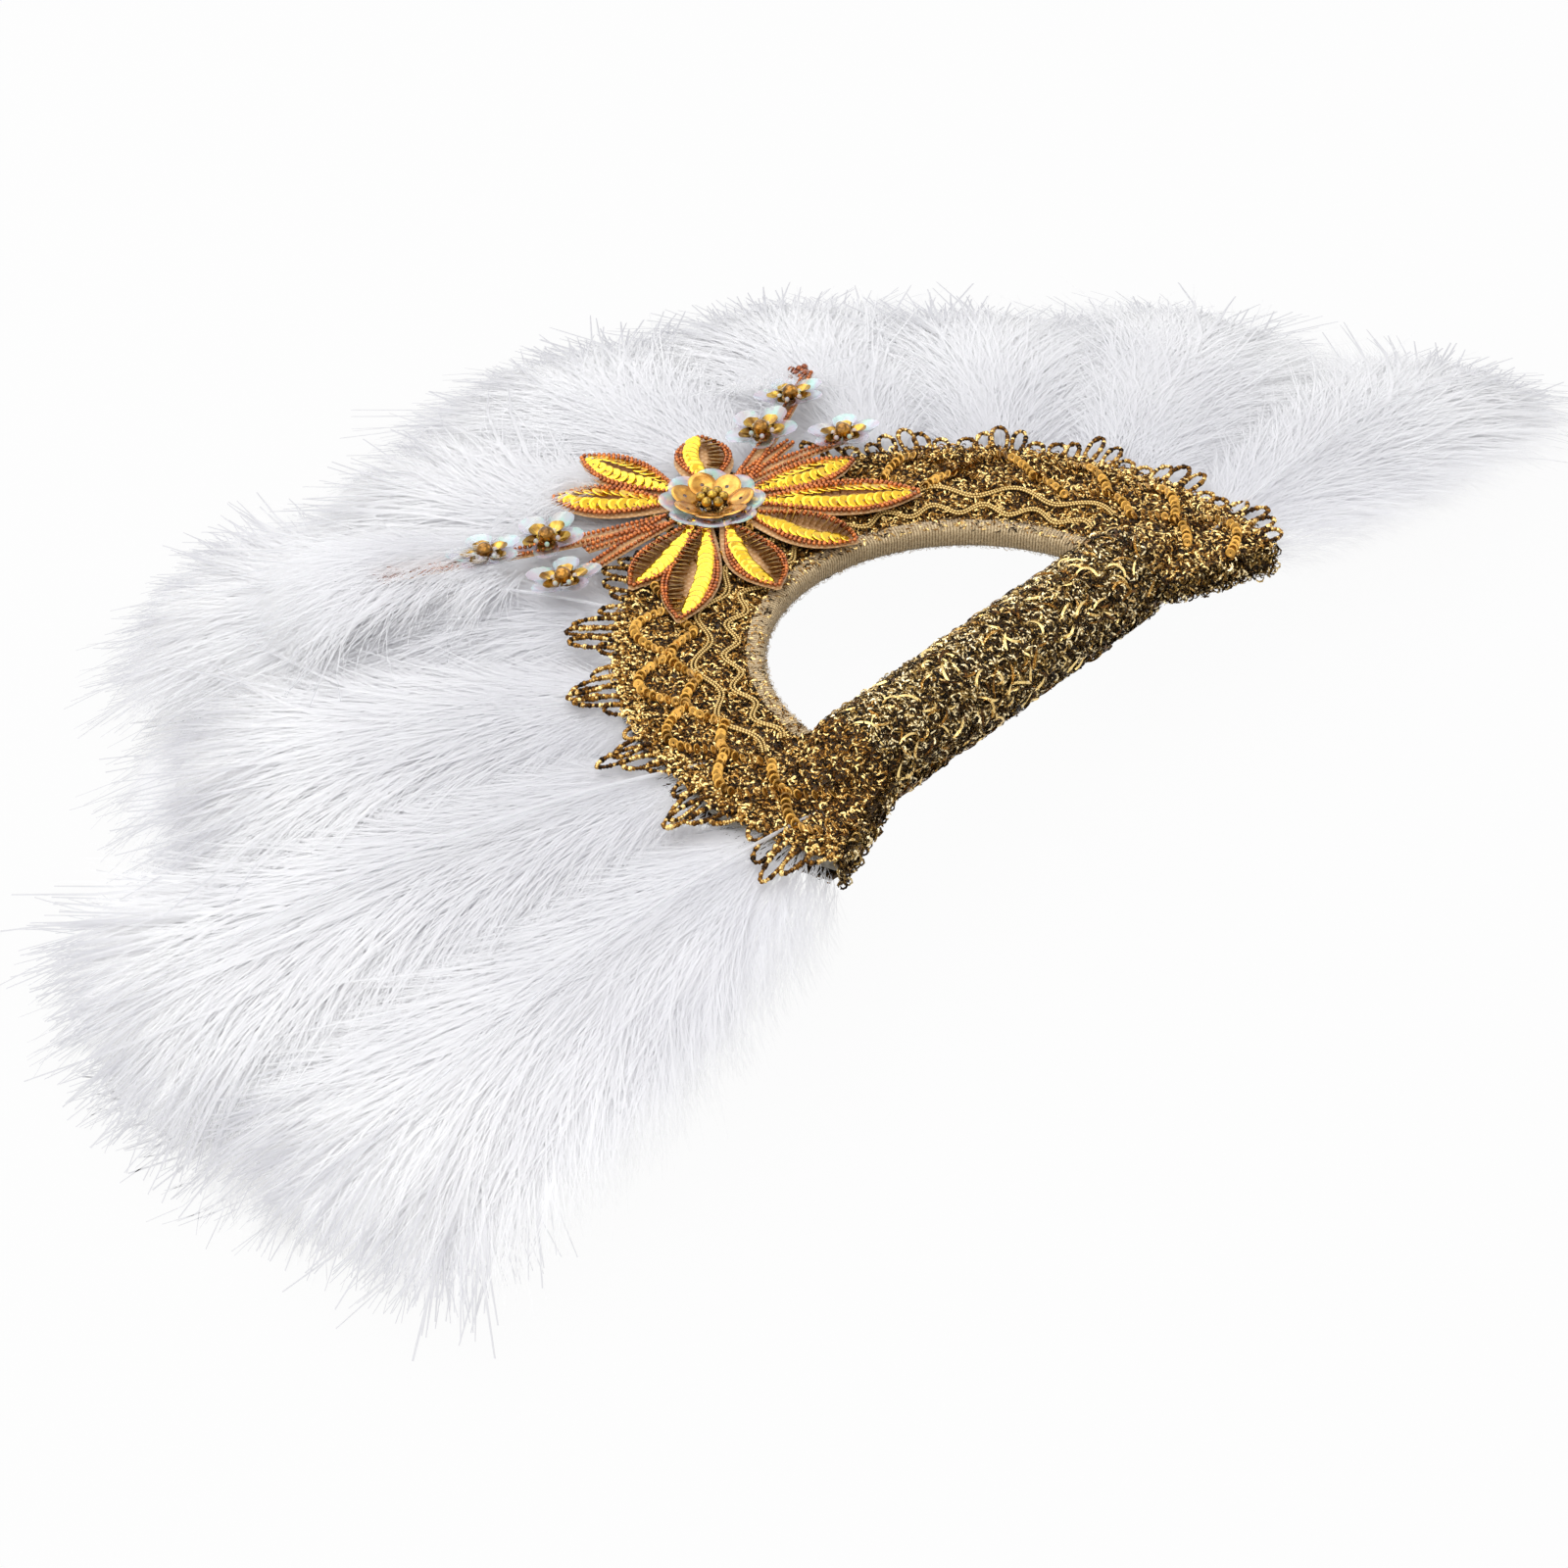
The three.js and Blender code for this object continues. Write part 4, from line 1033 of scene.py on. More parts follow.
def strewn(
    name: str, shape: Shape, tree: Tree, finish: Finish, stock: Stock, seed: int, density: float,
    sizes: tuple[float, float], tilt: float, palest: float = 1.0
) -> Piece:
    """Strews the shapes of a pattern over a surface.

    Args:
        name: Name of the result.
        shape: Points and faces of the surface.
        tree: The tree that strews.
        finish: Finish of the result.
        stock: The pattern.
        seed: Seed of the tree.
        density: Shapes in a square metre.
        sizes: Smallest and largest scale.
        tilt: How far they lean, in radians.
        palest: Highest tone.

    Returns:
        The result.
    """
    inputs = {
        "Density": density, "Smallest": sizes[0], "Largest": sizes[1], "Tilt": tilt, "Palest": palest, "Seed": seed
    }
    base = mesh_object(f"{name}_base", *shape)
    return grown(name, base, tree, Pattern=stock, Finish=finish.material(), **inputs)


def sewn(
    name: str, lines: Sequence[Sequence[Vector]], tree: Tree, finish: Finish, stock: Stock | None = None,
    tapers: Iterable[Sequence[float]] | None = None, **inputs: Any
) -> Piece:
    """Lays cord, or sews a row of the shapes of a pattern, along lines.

    Args:
        name: Name of the row.
        lines: Points of each line.
        tree: The tree that lays or sews.
        finish: Finish of the row.
        stock: The pattern, if the tree takes one.
        tapers: Size share at each point of each line, full size where left out.
        inputs: Other inputs of the tree.

    Returns:
        The row.
    """
    base = lines_object(f"{name}_line", lines, tapers)
    return grown(name, base, tree, Pattern=stock, Finish=finish.material(), **inputs)


@dataclass(frozen=True)
class FanPlan:
    """Where things lie on the fan, in millimetres about the middle of the handle."""

    rise: float = 6.0
    opening: float = 58.0
    edge: float = 59.2
    binding_end: float = 63.0
    inner_cord: float = 67.3
    quill_start: float = 75.1
    outer_cord: float = 75.4
    chain_reach: float = 80.7
    chain: float = 86.4
    edging: float = 93.6
    cover: float = 98.6
    picot_reach: float = 110.6
    end_drop: float = 19.0
    board_face: float = 1.8
    quill_face: float = 3.3
    cover_wall: float = 0.8
    sleeve_half: float = 58.6
    pad_radius: float = 12.4
    pad_end: float = 7.0
    pad_reach: float = 71.1
    hump_room: float = 0.8
    flower_x: float = -1.0
    flower_y: float = 104.1
    organza_level: float = 6.3
    petal_level: float = 7.1
    blossom_level: float = 6.8
    middle: Vector = field(default_factory=lambda: sum(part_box("handle_wrap"), Vector()) / 2)

    def place(self, x: float, y: float, z: float) -> Vector:
        """Turns millimetres about the handle into a place in the frame."""
        return self.middle + Vector((x, y, z)) * MM

    def ring(self, radius: float, angle: float, height: float) -> Vector:
        """Gives the place at a radius and an angle in degrees about the hand opening."""
        turn = math.radians(angle)
        return self.place(radius * math.cos(turn), self.rise + radius * math.sin(turn), height)

    def flower(self, distance: float, angle: float, height: float, aside: float = 0.0) -> Vector:
        """Gives a place about the flower's middle.

        Args:
            distance: Distance along the angle.
            angle: Angle in degrees.
            height: Height over the board's middle.
            aside: Distance to the left of the angle.

        Returns:
            The place in the frame.
        """
        turn = math.radians(angle)
        x = self.flower_x + distance * math.cos(turn) - aside * math.sin(turn)
        y = self.flower_y + distance * math.sin(turn) + aside * math.cos(turn)
        return self.place(x, y, height)

    def inner_edge(self, angle: float) -> float:
        """Gives the radius of the covers' inner edge, straight below the middle of the opening."""
        below = angle < 0 or angle > 180
        return self.edge / abs(math.cos(math.radians(angle))) if below else self.edge

    def cover_top(self, radius: float, angle: float) -> float:
        """Gives the height of a cover's outer face, which steps over the quills and humps over the handle's ends.

        Args:
            radius: Radius about the hand opening.
            angle: Angle in degrees.

        Returns:
            The height over the board's middle.
        """
        turn = math.radians(angle)
        x, y = radius * math.cos(turn), self.rise + radius * math.sin(turn)
        start, end = self.binding_end, self.quill_start
        step = min(1.0, max(0.0, (radius - start) / (end - start)))
        flat = self.board_face + (self.quill_face - self.board_face) * step
        fade = min(1.0, max(0.0, (self.chain_reach - radius) / (self.chain_reach - end)))
        share = min(1.0, max(0.0, (abs(x) - self.sleeve_half) / (self.pad_reach - self.sleeve_half)))
        hump = self.pad_radius + (self.pad_end - self.pad_radius) * share + self.hump_room
        return max(flat, fade * math.sqrt(max(0.0, hump * hump - y * y))) + self.cover_wall


class Row(Enum):
    """The two rows of plumes."""

    FRONT = "front"
    BACK = "back"


@dataclass(frozen=True)
class RowStyle:
    """How one row is grown, in millimetres and degrees.

    Attributes:
        cuts: Share of the full reach to which each plume is cut.
        barbs: Number of barbs of a plume.
        level: Height of the quills over the board's middle.
        droop: Fall of a plume's end.
        power: How late along a plume the fall sets in.
        half_width: Half the width to which the barbs reach.
        spread: How far from the shaft they start.
        lift: Their angle to the plume's face.
        roll: Fall of the plume's sides.
        seed: What is added to a plume's number for its seed.
    """

    cuts: tuple[float, ...]
    barbs: int
    level: float
    droop: float
    power: float
    half_width: float
    spread: float
    lift: float
    roll: float
    seed: int


FRONT_CUTS = (0.99, 0.905, 0.815, 0.87, 0.885, 0.84, 0.945, 0.85, 1.0, 0.975)
BACK_CUTS = (0.89, 0.89, 0.765, 0.95, 0.835, 0.85, 0.915, 0.89, 0.98)
ROW_STYLES = {
    Row.FRONT: RowStyle(FRONT_CUTS, 11500, 2.4, 24.0, 1.6, half_width=46.0, spread=34, lift=2, roll=8, seed=0),
    Row.BACK: RowStyle(BACK_CUTS, 6000, -2.4, 36.0, 1.3, half_width=50.0, spread=42, lift=-2, roll=2, seed=40),
}
# How far the shafts that show are bowed out of the down, and half the width of the two end plumes.
BARED_SHAFTS = {"front_plume_10": 6.0, "front_plume_09": 5.0, "front_plume_07": 4.5, "front_plume_01": 5.0}
NARROW_PLUMES = {"front_plume_01": 38.0, "front_plume_10": 43.0}


@dataclass
class PlumeSkirt:
    """Two shingled rows of drooping marabou plumes, in millimetres and degrees."""

    plan: FanPlan
    setback: float = 10.0
    fringe: float = 18.0
    root_drop: float = 12.0
    tip_drop: float = 1.0
    solid_reach: float = 265.0
    cover_lap: float = 6.0
    edging_lap: float = 4.0
    barb: float = 40.0
    barb_width: float = 0.011
    strand_width: float = 0.02
    stations: int = 30
    veils: tuple[tuple[tuple[float, float], tuple[float, float]], ...] = (
        ((70, 152), (130, 151)), ((60, 160), (84, 157)), ((34, 119), (52, 122)), ((60, 27), (82, 30))
    )
    veil_level: float = 9.6
    veil_fall: float = 0.55
    veil_barbs: tuple[int, ...] = (1700, 900, 600, 460)
    veil_breadths: tuple[float, ...] = (1.35, 1.1, 1.0, 1.0)
    flower_reach: float = 44.0
    flower_stretch: float = 0.62
    press_level: float = 4.6
    press_slope: float = 0.4

    def barb_shapes(self) -> list[Shape]:
        """Cuts the barbs.

        Returns:
            Ribbons of unit length that curve to the plume's tip, first four fine barbs and then four loose strands.
        """
        shapes = []
        for width, thinning in ((self.barb_width, 0.75), (self.strand_width, 0.35)):
            for bend, twist in ((0.16, 0.01), (0.26, -0.012), (0.34, 0.015), (0.2, -0.015)):
                points: list[Vector] = []
                shares = [0.0, 0.35, 0.7, 1.0]
                for share in shares:
                    half = 0.5 * width * (1 - 0.45 * share) * (1 - thinning * share**3)
                    y, z = bend * share**1.7, twist * math.sin(math.pi * share)
                    points += [Vector((share, y - half, z)), Vector((share, y + half, z))]
                faces = [(2 * n, 2 * n + 2, 2 * n + 3, 2 * n + 1) for n in range(len(shares) - 1)]
                shapes.append((points, faces))
        return shapes

    def barb_pattern(self) -> Stock:
        """Returns the barbs as a pattern whose points know their share of the length."""
        made = pattern("barb", self.barb_shapes())
        for shape in made.objects:
            set_values(shape, "tip", [point.co.x for point in shape.data.vertices])
        return made

    def spine(self, row: Row, root: float, tip: float, cut: float, chance: Random) -> list[Vector]:
        """Lays the shaft of one plume.

        Args:
            row: Its row.
            root: Angle of its quill.
            tip: Angle of its end.
            cut: Share of the full reach to which it is cut.
            chance: Source of its small departures.

        Returns:
            Points from the quill to the end.
        """
        style = ROW_STYLES[row]
        start = self.plan.ring(self.plan.quill_start, root, style.level)
        far = self.plan.ring(self.solid_reach, tip + chance.uniform(-1.2, 1.2), style.level)
        whole = (far - start).length / MM
        length = whole - (1 - cut) * self.solid_reach - self.setback
        end = start.lerp(far, length / whole)
        bend_start = self.plan.picot_reach - self.plan.quill_start
        across = UP.cross(end - start).normalized()
        sway = chance.uniform(-5, 5)
        points = []
        for share in spaced(0, 1, self.stations - 1):
            bend = max(0.0, (share * length - bend_start) / (whole - bend_start))
            point = start.lerp(end, share) + across * sway * MM * math.sin(math.pi * share) * share
            points.append(point - UP * style.droop * MM * bend**style.power)
        return points

    def build(self) -> None:
        """Grows every plume in place of its solid."""
        tree = barb_tree()
        barbs = self.barb_pattern()
        gaps = len(FRONT_CUTS) - 1
        roots = spaced(-self.root_drop, 180 + self.root_drop, gaps)
        tips = spaced(-self.tip_drop, 180 + self.tip_drop, gaps)
        places = {Row.FRONT: list(zip(roots, tips))}
        places[Row.BACK] = [((roots[n] + roots[n + 1]) / 2, (tips[n] + tips[n + 1]) / 2) for n in range(gaps)]
        for row, angles in places.items():
            for number, (root, tip) in enumerate(angles, 1):
                self.grow(tree, barbs, row, number, root, tip)
        self.veil(tree, barbs)

    def veil(self, tree: Tree, barbs: Stock) -> None:
        """Lets loose wisps of the plumes lie over the ends of the flower.

        Args:
            tree: The tree that grows them.
            barbs: Pattern of the barbs.
        """
        for number, (start, end) in enumerate(self.veils, 1):
            (near, first), (far, last) = start, end
            breadth = self.veil_breadths[number - 1] * MM
            line = []
            for step, (distance, angle) in enumerate(zip(spaced(near, far, 9), spaced(first, last, 9))):
                level = self.veil_level - self.veil_fall * max(0, step - 4) ** 2
                line.append(self.plan.flower(distance, angle, level))
            wisps = sewn(
                f"veil_{number:02d}_down", [line], tree, DOWN, barbs, Barbs=self.veil_barbs[number - 1],
                Length=0.55 * self.barb * breadth, Root_angle=math.radians(40), Tip_angle=math.radians(30),
                Angle_scatter=math.radians(25), Lift=math.radians(2), Lift_scatter=math.radians(10), Ripple=7 * MM,
                Ripple_size=14 * MM, Spread=12 * breadth, Half_width=26 * breadth, Fringe=12 * MM, Roll=3 * breadth,
                Droop=4 * MM, Crowding=1.0, Tuft_size=20 * MM, Ceiling=1.0, Vane_start=0.0, Shaft_radius=0.1 * MM,
                Seed=90 + number
            )
            adopt(wisps, DOWN)

    def grow(self, tree: Tree, barbs: Stock, row: Row, number: int, root: float, tip: float) -> None:
        """Grows one plume.

        Args:
            tree: The tree that grows it.
            barbs: Pattern of its barbs.
            row: Its row.
            number: Its number in the row.
            root: Angle of its quill.
            tip: Angle of its end.
        """
        style = ROW_STYLES[row]
        seed = number + style.seed
        chance = Random(seed)
        name = f"{row.value}_plume_{number:02d}"
        spine = self.spine(row, root, tip, style.cuts[number - 1], chance)
        covered = (self.plan.cover - self.cover_lap - self.plan.quill_start) / ((spine[-1] - spine[0]).length / MM)
        ring, flower = self.plan.ring(0, 0, 0), self.plan.flower(0, 0, 0)
        plume = sewn(
            f"{name}_down", [spine], tree, DOWN, barbs, Barbs=style.barbs,
            Length=self.barb * MM * chance.uniform(0.95, 1.08), Root_angle=math.radians(52), Tip_angle=math.radians(40),
            Angle_scatter=math.radians(20), Lift=math.radians(style.lift), Lift_scatter=math.radians(2.5),
            Ripple=6 * MM, Ripple_size=18 * MM, Spread=style.spread * MM,
            Half_width=NARROW_PLUMES.get(name, style.half_width) * MM, Fringe=self.fringe * MM, Roll=style.roll * MM,
            Crowding=0.82, Tuft=0.35, Tuft_size=24 * MM, Droop=5 * MM, Floor=0.4 * MM,
            Ring_middle=(ring.x, ring.y, 0.0), Ring_reach=(self.plan.picot_reach - self.edging_lap) * MM,
            Flower_middle=(flower.x, flower.y, 0.0), Flower_reach=self.flower_reach * MM,
            Flower_stretch=self.flower_stretch, Ceiling=ring.z + self.press_level * MM,
            Ceiling_slope=self.press_slope, Vane_start=covered, Shaft_radius=0.6 * MM,
            Shaft_lift=BARED_SHAFTS.get(name, 0.0) / ARCH_SHARE * MM, Seed=seed
        )
        adopt(plume, DOWN, name)


def curls(arches: Sequence[tuple[float, float, float]], width: float, steps: int = 5) -> list[Shape]:
    """Bends slit foil into twisted arches, in millimetres and degrees.

    Args:
        arches: Radius, sweep and height of each arch.
        width: Width of the foil.
        steps: Stretches along each arch.

    Returns:
        Points and faces of each curl.
    """
    shapes = []
    for radius, sweep, height in arches:
        points: list[Vector] = []
        for step in range(steps + 1):
            share = step / steps - 0.5
            turn, twist = math.radians(sweep) * share, 2.4 * share
            back = radius * (math.cos(turn) - math.cos(math.radians(sweep) / 2))
            middle = Vector((radius * math.sin(turn), back, height * math.cos(math.pi * share)))
            out = Vector((math.sin(turn) * math.cos(twist), math.cos(turn) * math.cos(twist), math.sin(twist)))
            points += [(middle - out * width / 2) * MM, (middle + out * width / 2) * MM]
        shapes.append((points, [(2 * n, 2 * n + 2, 2 * n + 3, 2 * n + 1) for n in range(steps)]))
    return shapes


def gathered(name: str, shapes: Iterable[Shape]) -> Piece:
    """Puts several shapes into one mesh.

    Args:
        name: Name of the mesh.
        shapes: Points and faces of each shape.

    Returns:
        The object.
    """
    points: list[Vector] = []
    faces: Faces = []
    for some, corners in shapes:
        first = len(points)
        points.extend(some)
        faces.extend(tuple(first + corner for corner in face) for face in corners)
    return mesh_object(name, points, faces)


def moved(shape: Shape, matrix: Matrix) -> Shape:
    """Moves a shape.

    Args:
        shape: Points and faces.
        matrix: Where it goes.

    Returns:
        The moved points and the same faces.
    """
    points, faces = shape
    return [matrix @ point for point in points], faces


def grid(columns: Sequence[Sequence[Vector]], turned: bool = False) -> Shape:
    """Makes a sheet of quads from columns of points.

    Args:
        columns: Points of each column, all of one length.
        turned: Whether its faces look the other way.

    Returns:
        Points and faces.
    """
    rows = len(columns[0])
    points = [point for column in columns for point in column]
    faces: Faces = []
    for column in range(len(columns) - 1):
        for row in range(rows - 1):
            low = column * rows + row
            face = (low, low + 1, low + rows + 1, low + rows)
            faces.append(tuple(reversed(face)) if turned else face)
    return points, faces


@dataclass
class LaceRing:
    """Lace covers of the half ring with cords, sequin chains, edging and binding, in millimetres and degrees."""

    plan: FanPlan
    trees: Mapping[str, Tree]
    columns: int = 150
    rows: int = 20
    wall: float = 0.6
    lump: float = 0.35
    lip_turn: float = 0.7
    lip_level: float = 0.1
    flat_width: float = 197.0
    flat_length: float = 131.0
    flat_area: float = 11800.0
    densities: Mapping[int, float] = field(default_factory=lambda: {1: 1.5e6, -1: 4.5e5})
    scallops: int = 14
    loops: int = 5
    loop_length: float = 14.5
    loop_width: float = 4.8
    band_level: float = 4.5
    point_start: float = 105.0
    point_turn: float = 30.0
    end_levels: tuple[float, ...] = (-0.9, -0.5, -0.1, 0.3, 0.65, 0.95)
    cord: float = 1.1
    cord_half: float = 0.55
    sequin_radius: float = 1.5
    sequin_pitch: float = 2.2
    chain_turn: float = 35.0
    tape_level: float = 3.2
    tape_end: float = 9.0
    tape_wall: float = 0.5
    tape_flat: tuple[float, float] = (0.0165, 0.168)

    def ends(self, past: float = 0.0) -> tuple[float, float]:
        """Gives the angles of the covers' two ends, or of what stands past them."""
        return -self.plan.end_drop - past, 180 + self.plan.end_drop + past

    def scallop_span(self) -> float:
        """Gives the angle that one scallop takes."""
        return (180 + 2 * self.plan.end_drop) / self.scallops

    def cover(self, side: int) -> Shape:
        """Shapes one cover.

        Args:
            side: 1 for the front, -1 for the back.

        Returns:
            Points and faces of its outer face, with a lip over each end of the board.
        """
        plan = self.plan
        columns = []
        for angle in spaced(*self.ends(), self.columns - 1):
            column = []
            for radius in spaced(plan.inner_edge(angle), plan.cover, self.rows - 1):
                lump = self.lump * noise.noise(Vector((radius, angle * 1.2, 9 * side)) * 0.35)
                column.append(plan.ring(radius, angle, side * (plan.cover_top(radius, angle) + lump)))
            columns.append(column)
        for angle, slot in zip(self.ends(self.lip_turn), (0, len(columns))):
            radii = spaced(plan.inner_edge(angle), plan.cover, self.rows - 1)
            columns.insert(slot, [plan.ring(radius, angle, side * self.lip_level) for radius in radii])
        return grid(columns, turned=side < 0)

    def wave(self, radius: float, swing: float, waves: int, start: float, aside: float = 0.0) -> list[Vector]:
        """Lays a waving line around the ring.

        Args:
            radius: Its middle radius.
            swing: Its reach to either side.
            waves: Number of waves.
            start: Its angle from each end of the half circle.
            aside: Distance outwards from that line.

        Returns:
            Points of the line on the front cover.
        """
        count = waves * 14
        points = []
        for step, angle in enumerate(spaced(start, 180 - start, count)):
            reach = radius + swing * math.sin(math.tau * waves * step / count) + aside
            points.append(self.plan.ring(reach, angle, self.plan.cover_top(reach, angle) + self.cord))
        return points

    def arches(self, radius: float, swing: float, lift: float, shift: float = 0.0) -> list[list[Vector]]:
        """Lays one arched line in each scallop.

        Args:
            radius: Radius of the arches' feet.
            swing: Height of the arches.
            lift: Height over the cover.
            shift: Share of a scallop by which they are moved around.

        Returns:
            Points of each arch, in the order in which it was sewn.
        """
        span = self.scallop_span()
        lines = []
        for number in range(self.scallops - (1 if shift else 0)):
            first = -self.plan.end_drop + span * (number + shift)
            line = []
            for share in spaced(0, 1, 14):
                reach = radius + swing * math.sin(math.pi * share)
                angle = first + span * (0.03 + 0.94 * share)
                line.append(self.plan.ring(reach, angle, self.plan.cover_top(reach, angle) + lift))
            lines.append(line if first > self.chain_turn else line[::-1])
        return lines

    def picots(self) -> list[list[Vector]]:
        """Lays the loops of the edging.

        Returns:
            Points of each loop, longest in the middle of its scallop and gathered to points on the left half.
        """
        chance = Random(5)
        span = self.scallop_span()
        half = (self.loops - 1) / 2
        lines = []
        for number in range(self.scallops):
            middle = -self.plan.end_drop + span * (number + 0.5)
            pointed = min(1.0, max(0.0, (middle - self.point_start) / self.point_turn))
            gather, full = 3 + 24 * pointed, self.loop_length * (1 + 0.25 * pointed)
            for loop in range(self.loops):
                place = (loop - half) / half
                angle = middle + place * span * 0.4 + chance.uniform(-0.4, 0.4)
                reach = full * (1 - 0.5 * abs(place) ** 1.3) * chance.uniform(0.85, 1.1)
                width = self.loop_width * chance.uniform(0.85, 1.15)
                base = self.plan.ring(self.plan.cover - 2.2, angle, 4.8 + chance.uniform(-0.3, 0.3))
                aim = math.radians(angle - place * gather + chance.uniform(-5, 5))
                ahead = Vector((math.cos(aim), math.sin(aim), 0))
                across = UP.cross(ahead)
                line = []
                for step in range(19):
                    turn = math.tau * step / 18
                    out = reach * (1 - math.cos(turn)) / 2
                    side = width / 2 * math.sin(turn) * (0.75 + 0.3 * out / reach)
                    line.append(base + (ahead * out + across * side + UP * (0.1 - 0.006 * out) * out) * MM)
                lines.append(line)
        return lines

    def tape(self) -> tuple[list[Vector], Faces, list[float]]:
        """Folds the binding over the rim of the opening.

        Returns:
            Points, faces, and each point's distance along the tape.
        """
        plan = self.plan
        top = self.tape_level
        turn = [(plan.binding_end, top), (60.5, top + 0.1), (plan.opening + 0.6, top - 0.4), (plan.opening, top - 1.6)]
        section = [*turn, (plan.opening, 0.0), *((radius, -height) for radius, height in reversed(turn))]
        columns, along = [], []
        for angle in spaced(self.tape_end, 180 - self.tape_end, 120):
            ragged = 0.35 * noise.noise(Vector((angle * 0.9, 0, 0)))
            shifts = [ragged, *[0.0] * (len(section) - 2), ragged]
            columns.append([plan.ring(radius + out, angle, z) for (radius, z), out in zip(section, shifts)])
            along += [math.radians(angle) * plan.edge] * len(section)
        points, faces = grid(columns, turned=True)
        return points, faces, along

    def build(self) -> None:
        """Makes the covers first and then what is sewn on them."""
        small = pattern("stitch", curls([(0.7, 200, 0.5), (1.1, 150, 0.7), (0.9, 260, 0.4), (1.6, 100, 0.6)], 0.42))
        nub = pattern("nub", [ball(6, 4)])
        disc = pattern("disc", [sequin()])
        hair = pattern("hair", curls([(3.0, 40, 0.5), (1.8, 70, 1.0)], 0.12, 3))
        for side, name in ((1, "front_cover"), (-1, "back_cover")):
            self.build_cover(side, name, small)
        self.build_tape(hair)
        for name, line in (
            ("inner_wave_cord", (self.plan.inner_cord, 2.0, 13, 10.0)),
            ("outer_wave_cord", (self.plan.outer_cord, 2.6, 9, 8.0)),
        ):
            pair = [self.wave(*line, aside=aside) for aside in (-self.cord_half, self.cord_half)]
            gauge = {"Radius": 0.36 * MM, "Sides": 6, "Step": 0.7 * MM}
            adopt(sewn(f"{name}_braid", pair, self.trees["cord"], BRAID, **gauge), BRAID, name)
        self.build_edging(small, nub)
        self.build_chains(disc)
        self.build_ends(small)

    def build_cover(self, side: int, name: str, stitch: Stock) -> None:
        """Makes one cover: a stitched ground under loose thread.

        Args:
            side: 1 for the front, -1 for the back.
            name: The solid that it stands for.
            stitch: Pattern of the thread.
        """
        shape = self.cover(side)
        spread = (11 + side, self.densities[side], (0.7, 1.25), 0.5)
        thread = strewn(f"{name}_thread", shape, self.trees["scatter"], LACE_THREAD, stitch, *spread)
        ground = solidified(mesh_object(f"{name}_ground", *shape), self.wall * MM)
        adopt(ground, LACE_GROUND, name)
        adopt(thread, LACE_THREAD)

    def build_tape(self, hair: Stock) -> None:
        """Makes the binding and the fibres that stand off it.

        Args:
            hair: Pattern of the fibres.
        """
        points, faces, along = self.tape()
        tape = mesh_object("opening_binding_tape", points, faces)
        set_values(tape, "along", along)
        shape = (points, faces)
        fuzz = strewn("opening_binding_fuzz", shape, self.trees["scatter"], TAPE, hair, 21, 1.4e6, (0.6, 1.2), 1.1)
        tape = adopt(solidified(tape, self.tape_wall * MM), TAPE, "opening_binding")
        adopt(fuzz, TAPE)

    def build_edging(self, stitch: Stock, nub: Stock) -> None:
        """Makes the scalloped band and its picot loops.

        Args:
            stitch: Pattern of the thread on the band.
            nub: Pattern of the knots along the loops.
        """
        lines = self.picots()
        gauge = {"Radius": 0.38 * MM, "Sides": 5, "Step": 0.9 * MM}
        core = sewn("picot_core", lines, self.trees["cord"], LACE_THREAD, **gauge)
        row = {"Spacing": 0.9 * MM, "Size": 0.72 * MM, "Size_scatter": 0.25, "Turn_scatter": 1.0}
        tones = {"Darkest": 0.05, "Palest": 0.95}
        knots = sewn("picot_knots", lines, self.trees["beading"], LACE_THREAD, nub, Seed=31, **row, **tones)
        radii = spaced(self.plan.edging, self.plan.cover + 1, 3)
        angles = spaced(*self.ends(), 120)
        shape = grid([[self.plan.ring(radius, angle, self.band_level) for radius in radii] for angle in angles])
        band = strewn("edging_band", shape, self.trees["scatter"], LACE_THREAD, stitch, 33, 2.0e6, (0.8, 1.3), 0.6, 1.1)
        adopt(joined("picot_edging_loops", [core, knots, band]), LACE_THREAD, "picot_edging")

    def build_ends(self, stitch: Stock) -> None:
        """Lets cut thread stand off the two ends of the covers.

        Args:
            stitch: Pattern of the thread.
        """
        plan, lines = self.plan, []
        for angle in self.ends(0.5):
            radii = spaced(plan.inner_edge(angle), plan.cover + 1, 20)
            for share in self.end_levels:
                lines.append([plan.ring(radius, angle, share * plan.cover_top(radius, angle)) for radius in radii])
        row = {"Spacing": 0.3 * MM, "Size": 1.15, "Size_scatter": 0.35, "Turn_scatter": 3.0, "Palest": 0.9, "Seed": 45}
        tufts = sewn("cover_end_thread", lines, self.trees["beading"], HANDLE_THREAD, stitch, **row)
        adopt(tufts, HANDLE_THREAD)

    def build_chains(self, disc: Stock) -> None:
        """Sews the chains of overlapping sequins.

        Args:
            disc: Pattern of a sequin.
        """
        outer = self.arches(self.plan.chain - 2.0, 9.5, 2.0)
        inner = self.arches(self.plan.chain_reach - 3.0, 6.0, 1.7, 0.5)
        row = {"Spacing": self.sequin_pitch * MM, "Size": self.sequin_radius * MM, "Size_scatter": 0.06}
        lean = {"Tilt": math.radians(55), "Turn_scatter": 0.22, "Palest": 1.0, "Seed": 41}
        chains = sewn("sequin_chain_discs", outer + inner, self.trees["beading"], CHAIN_FOIL, disc, **row, **lean)
        adopt(chains, CHAIN_FOIL, "sequin_chain")


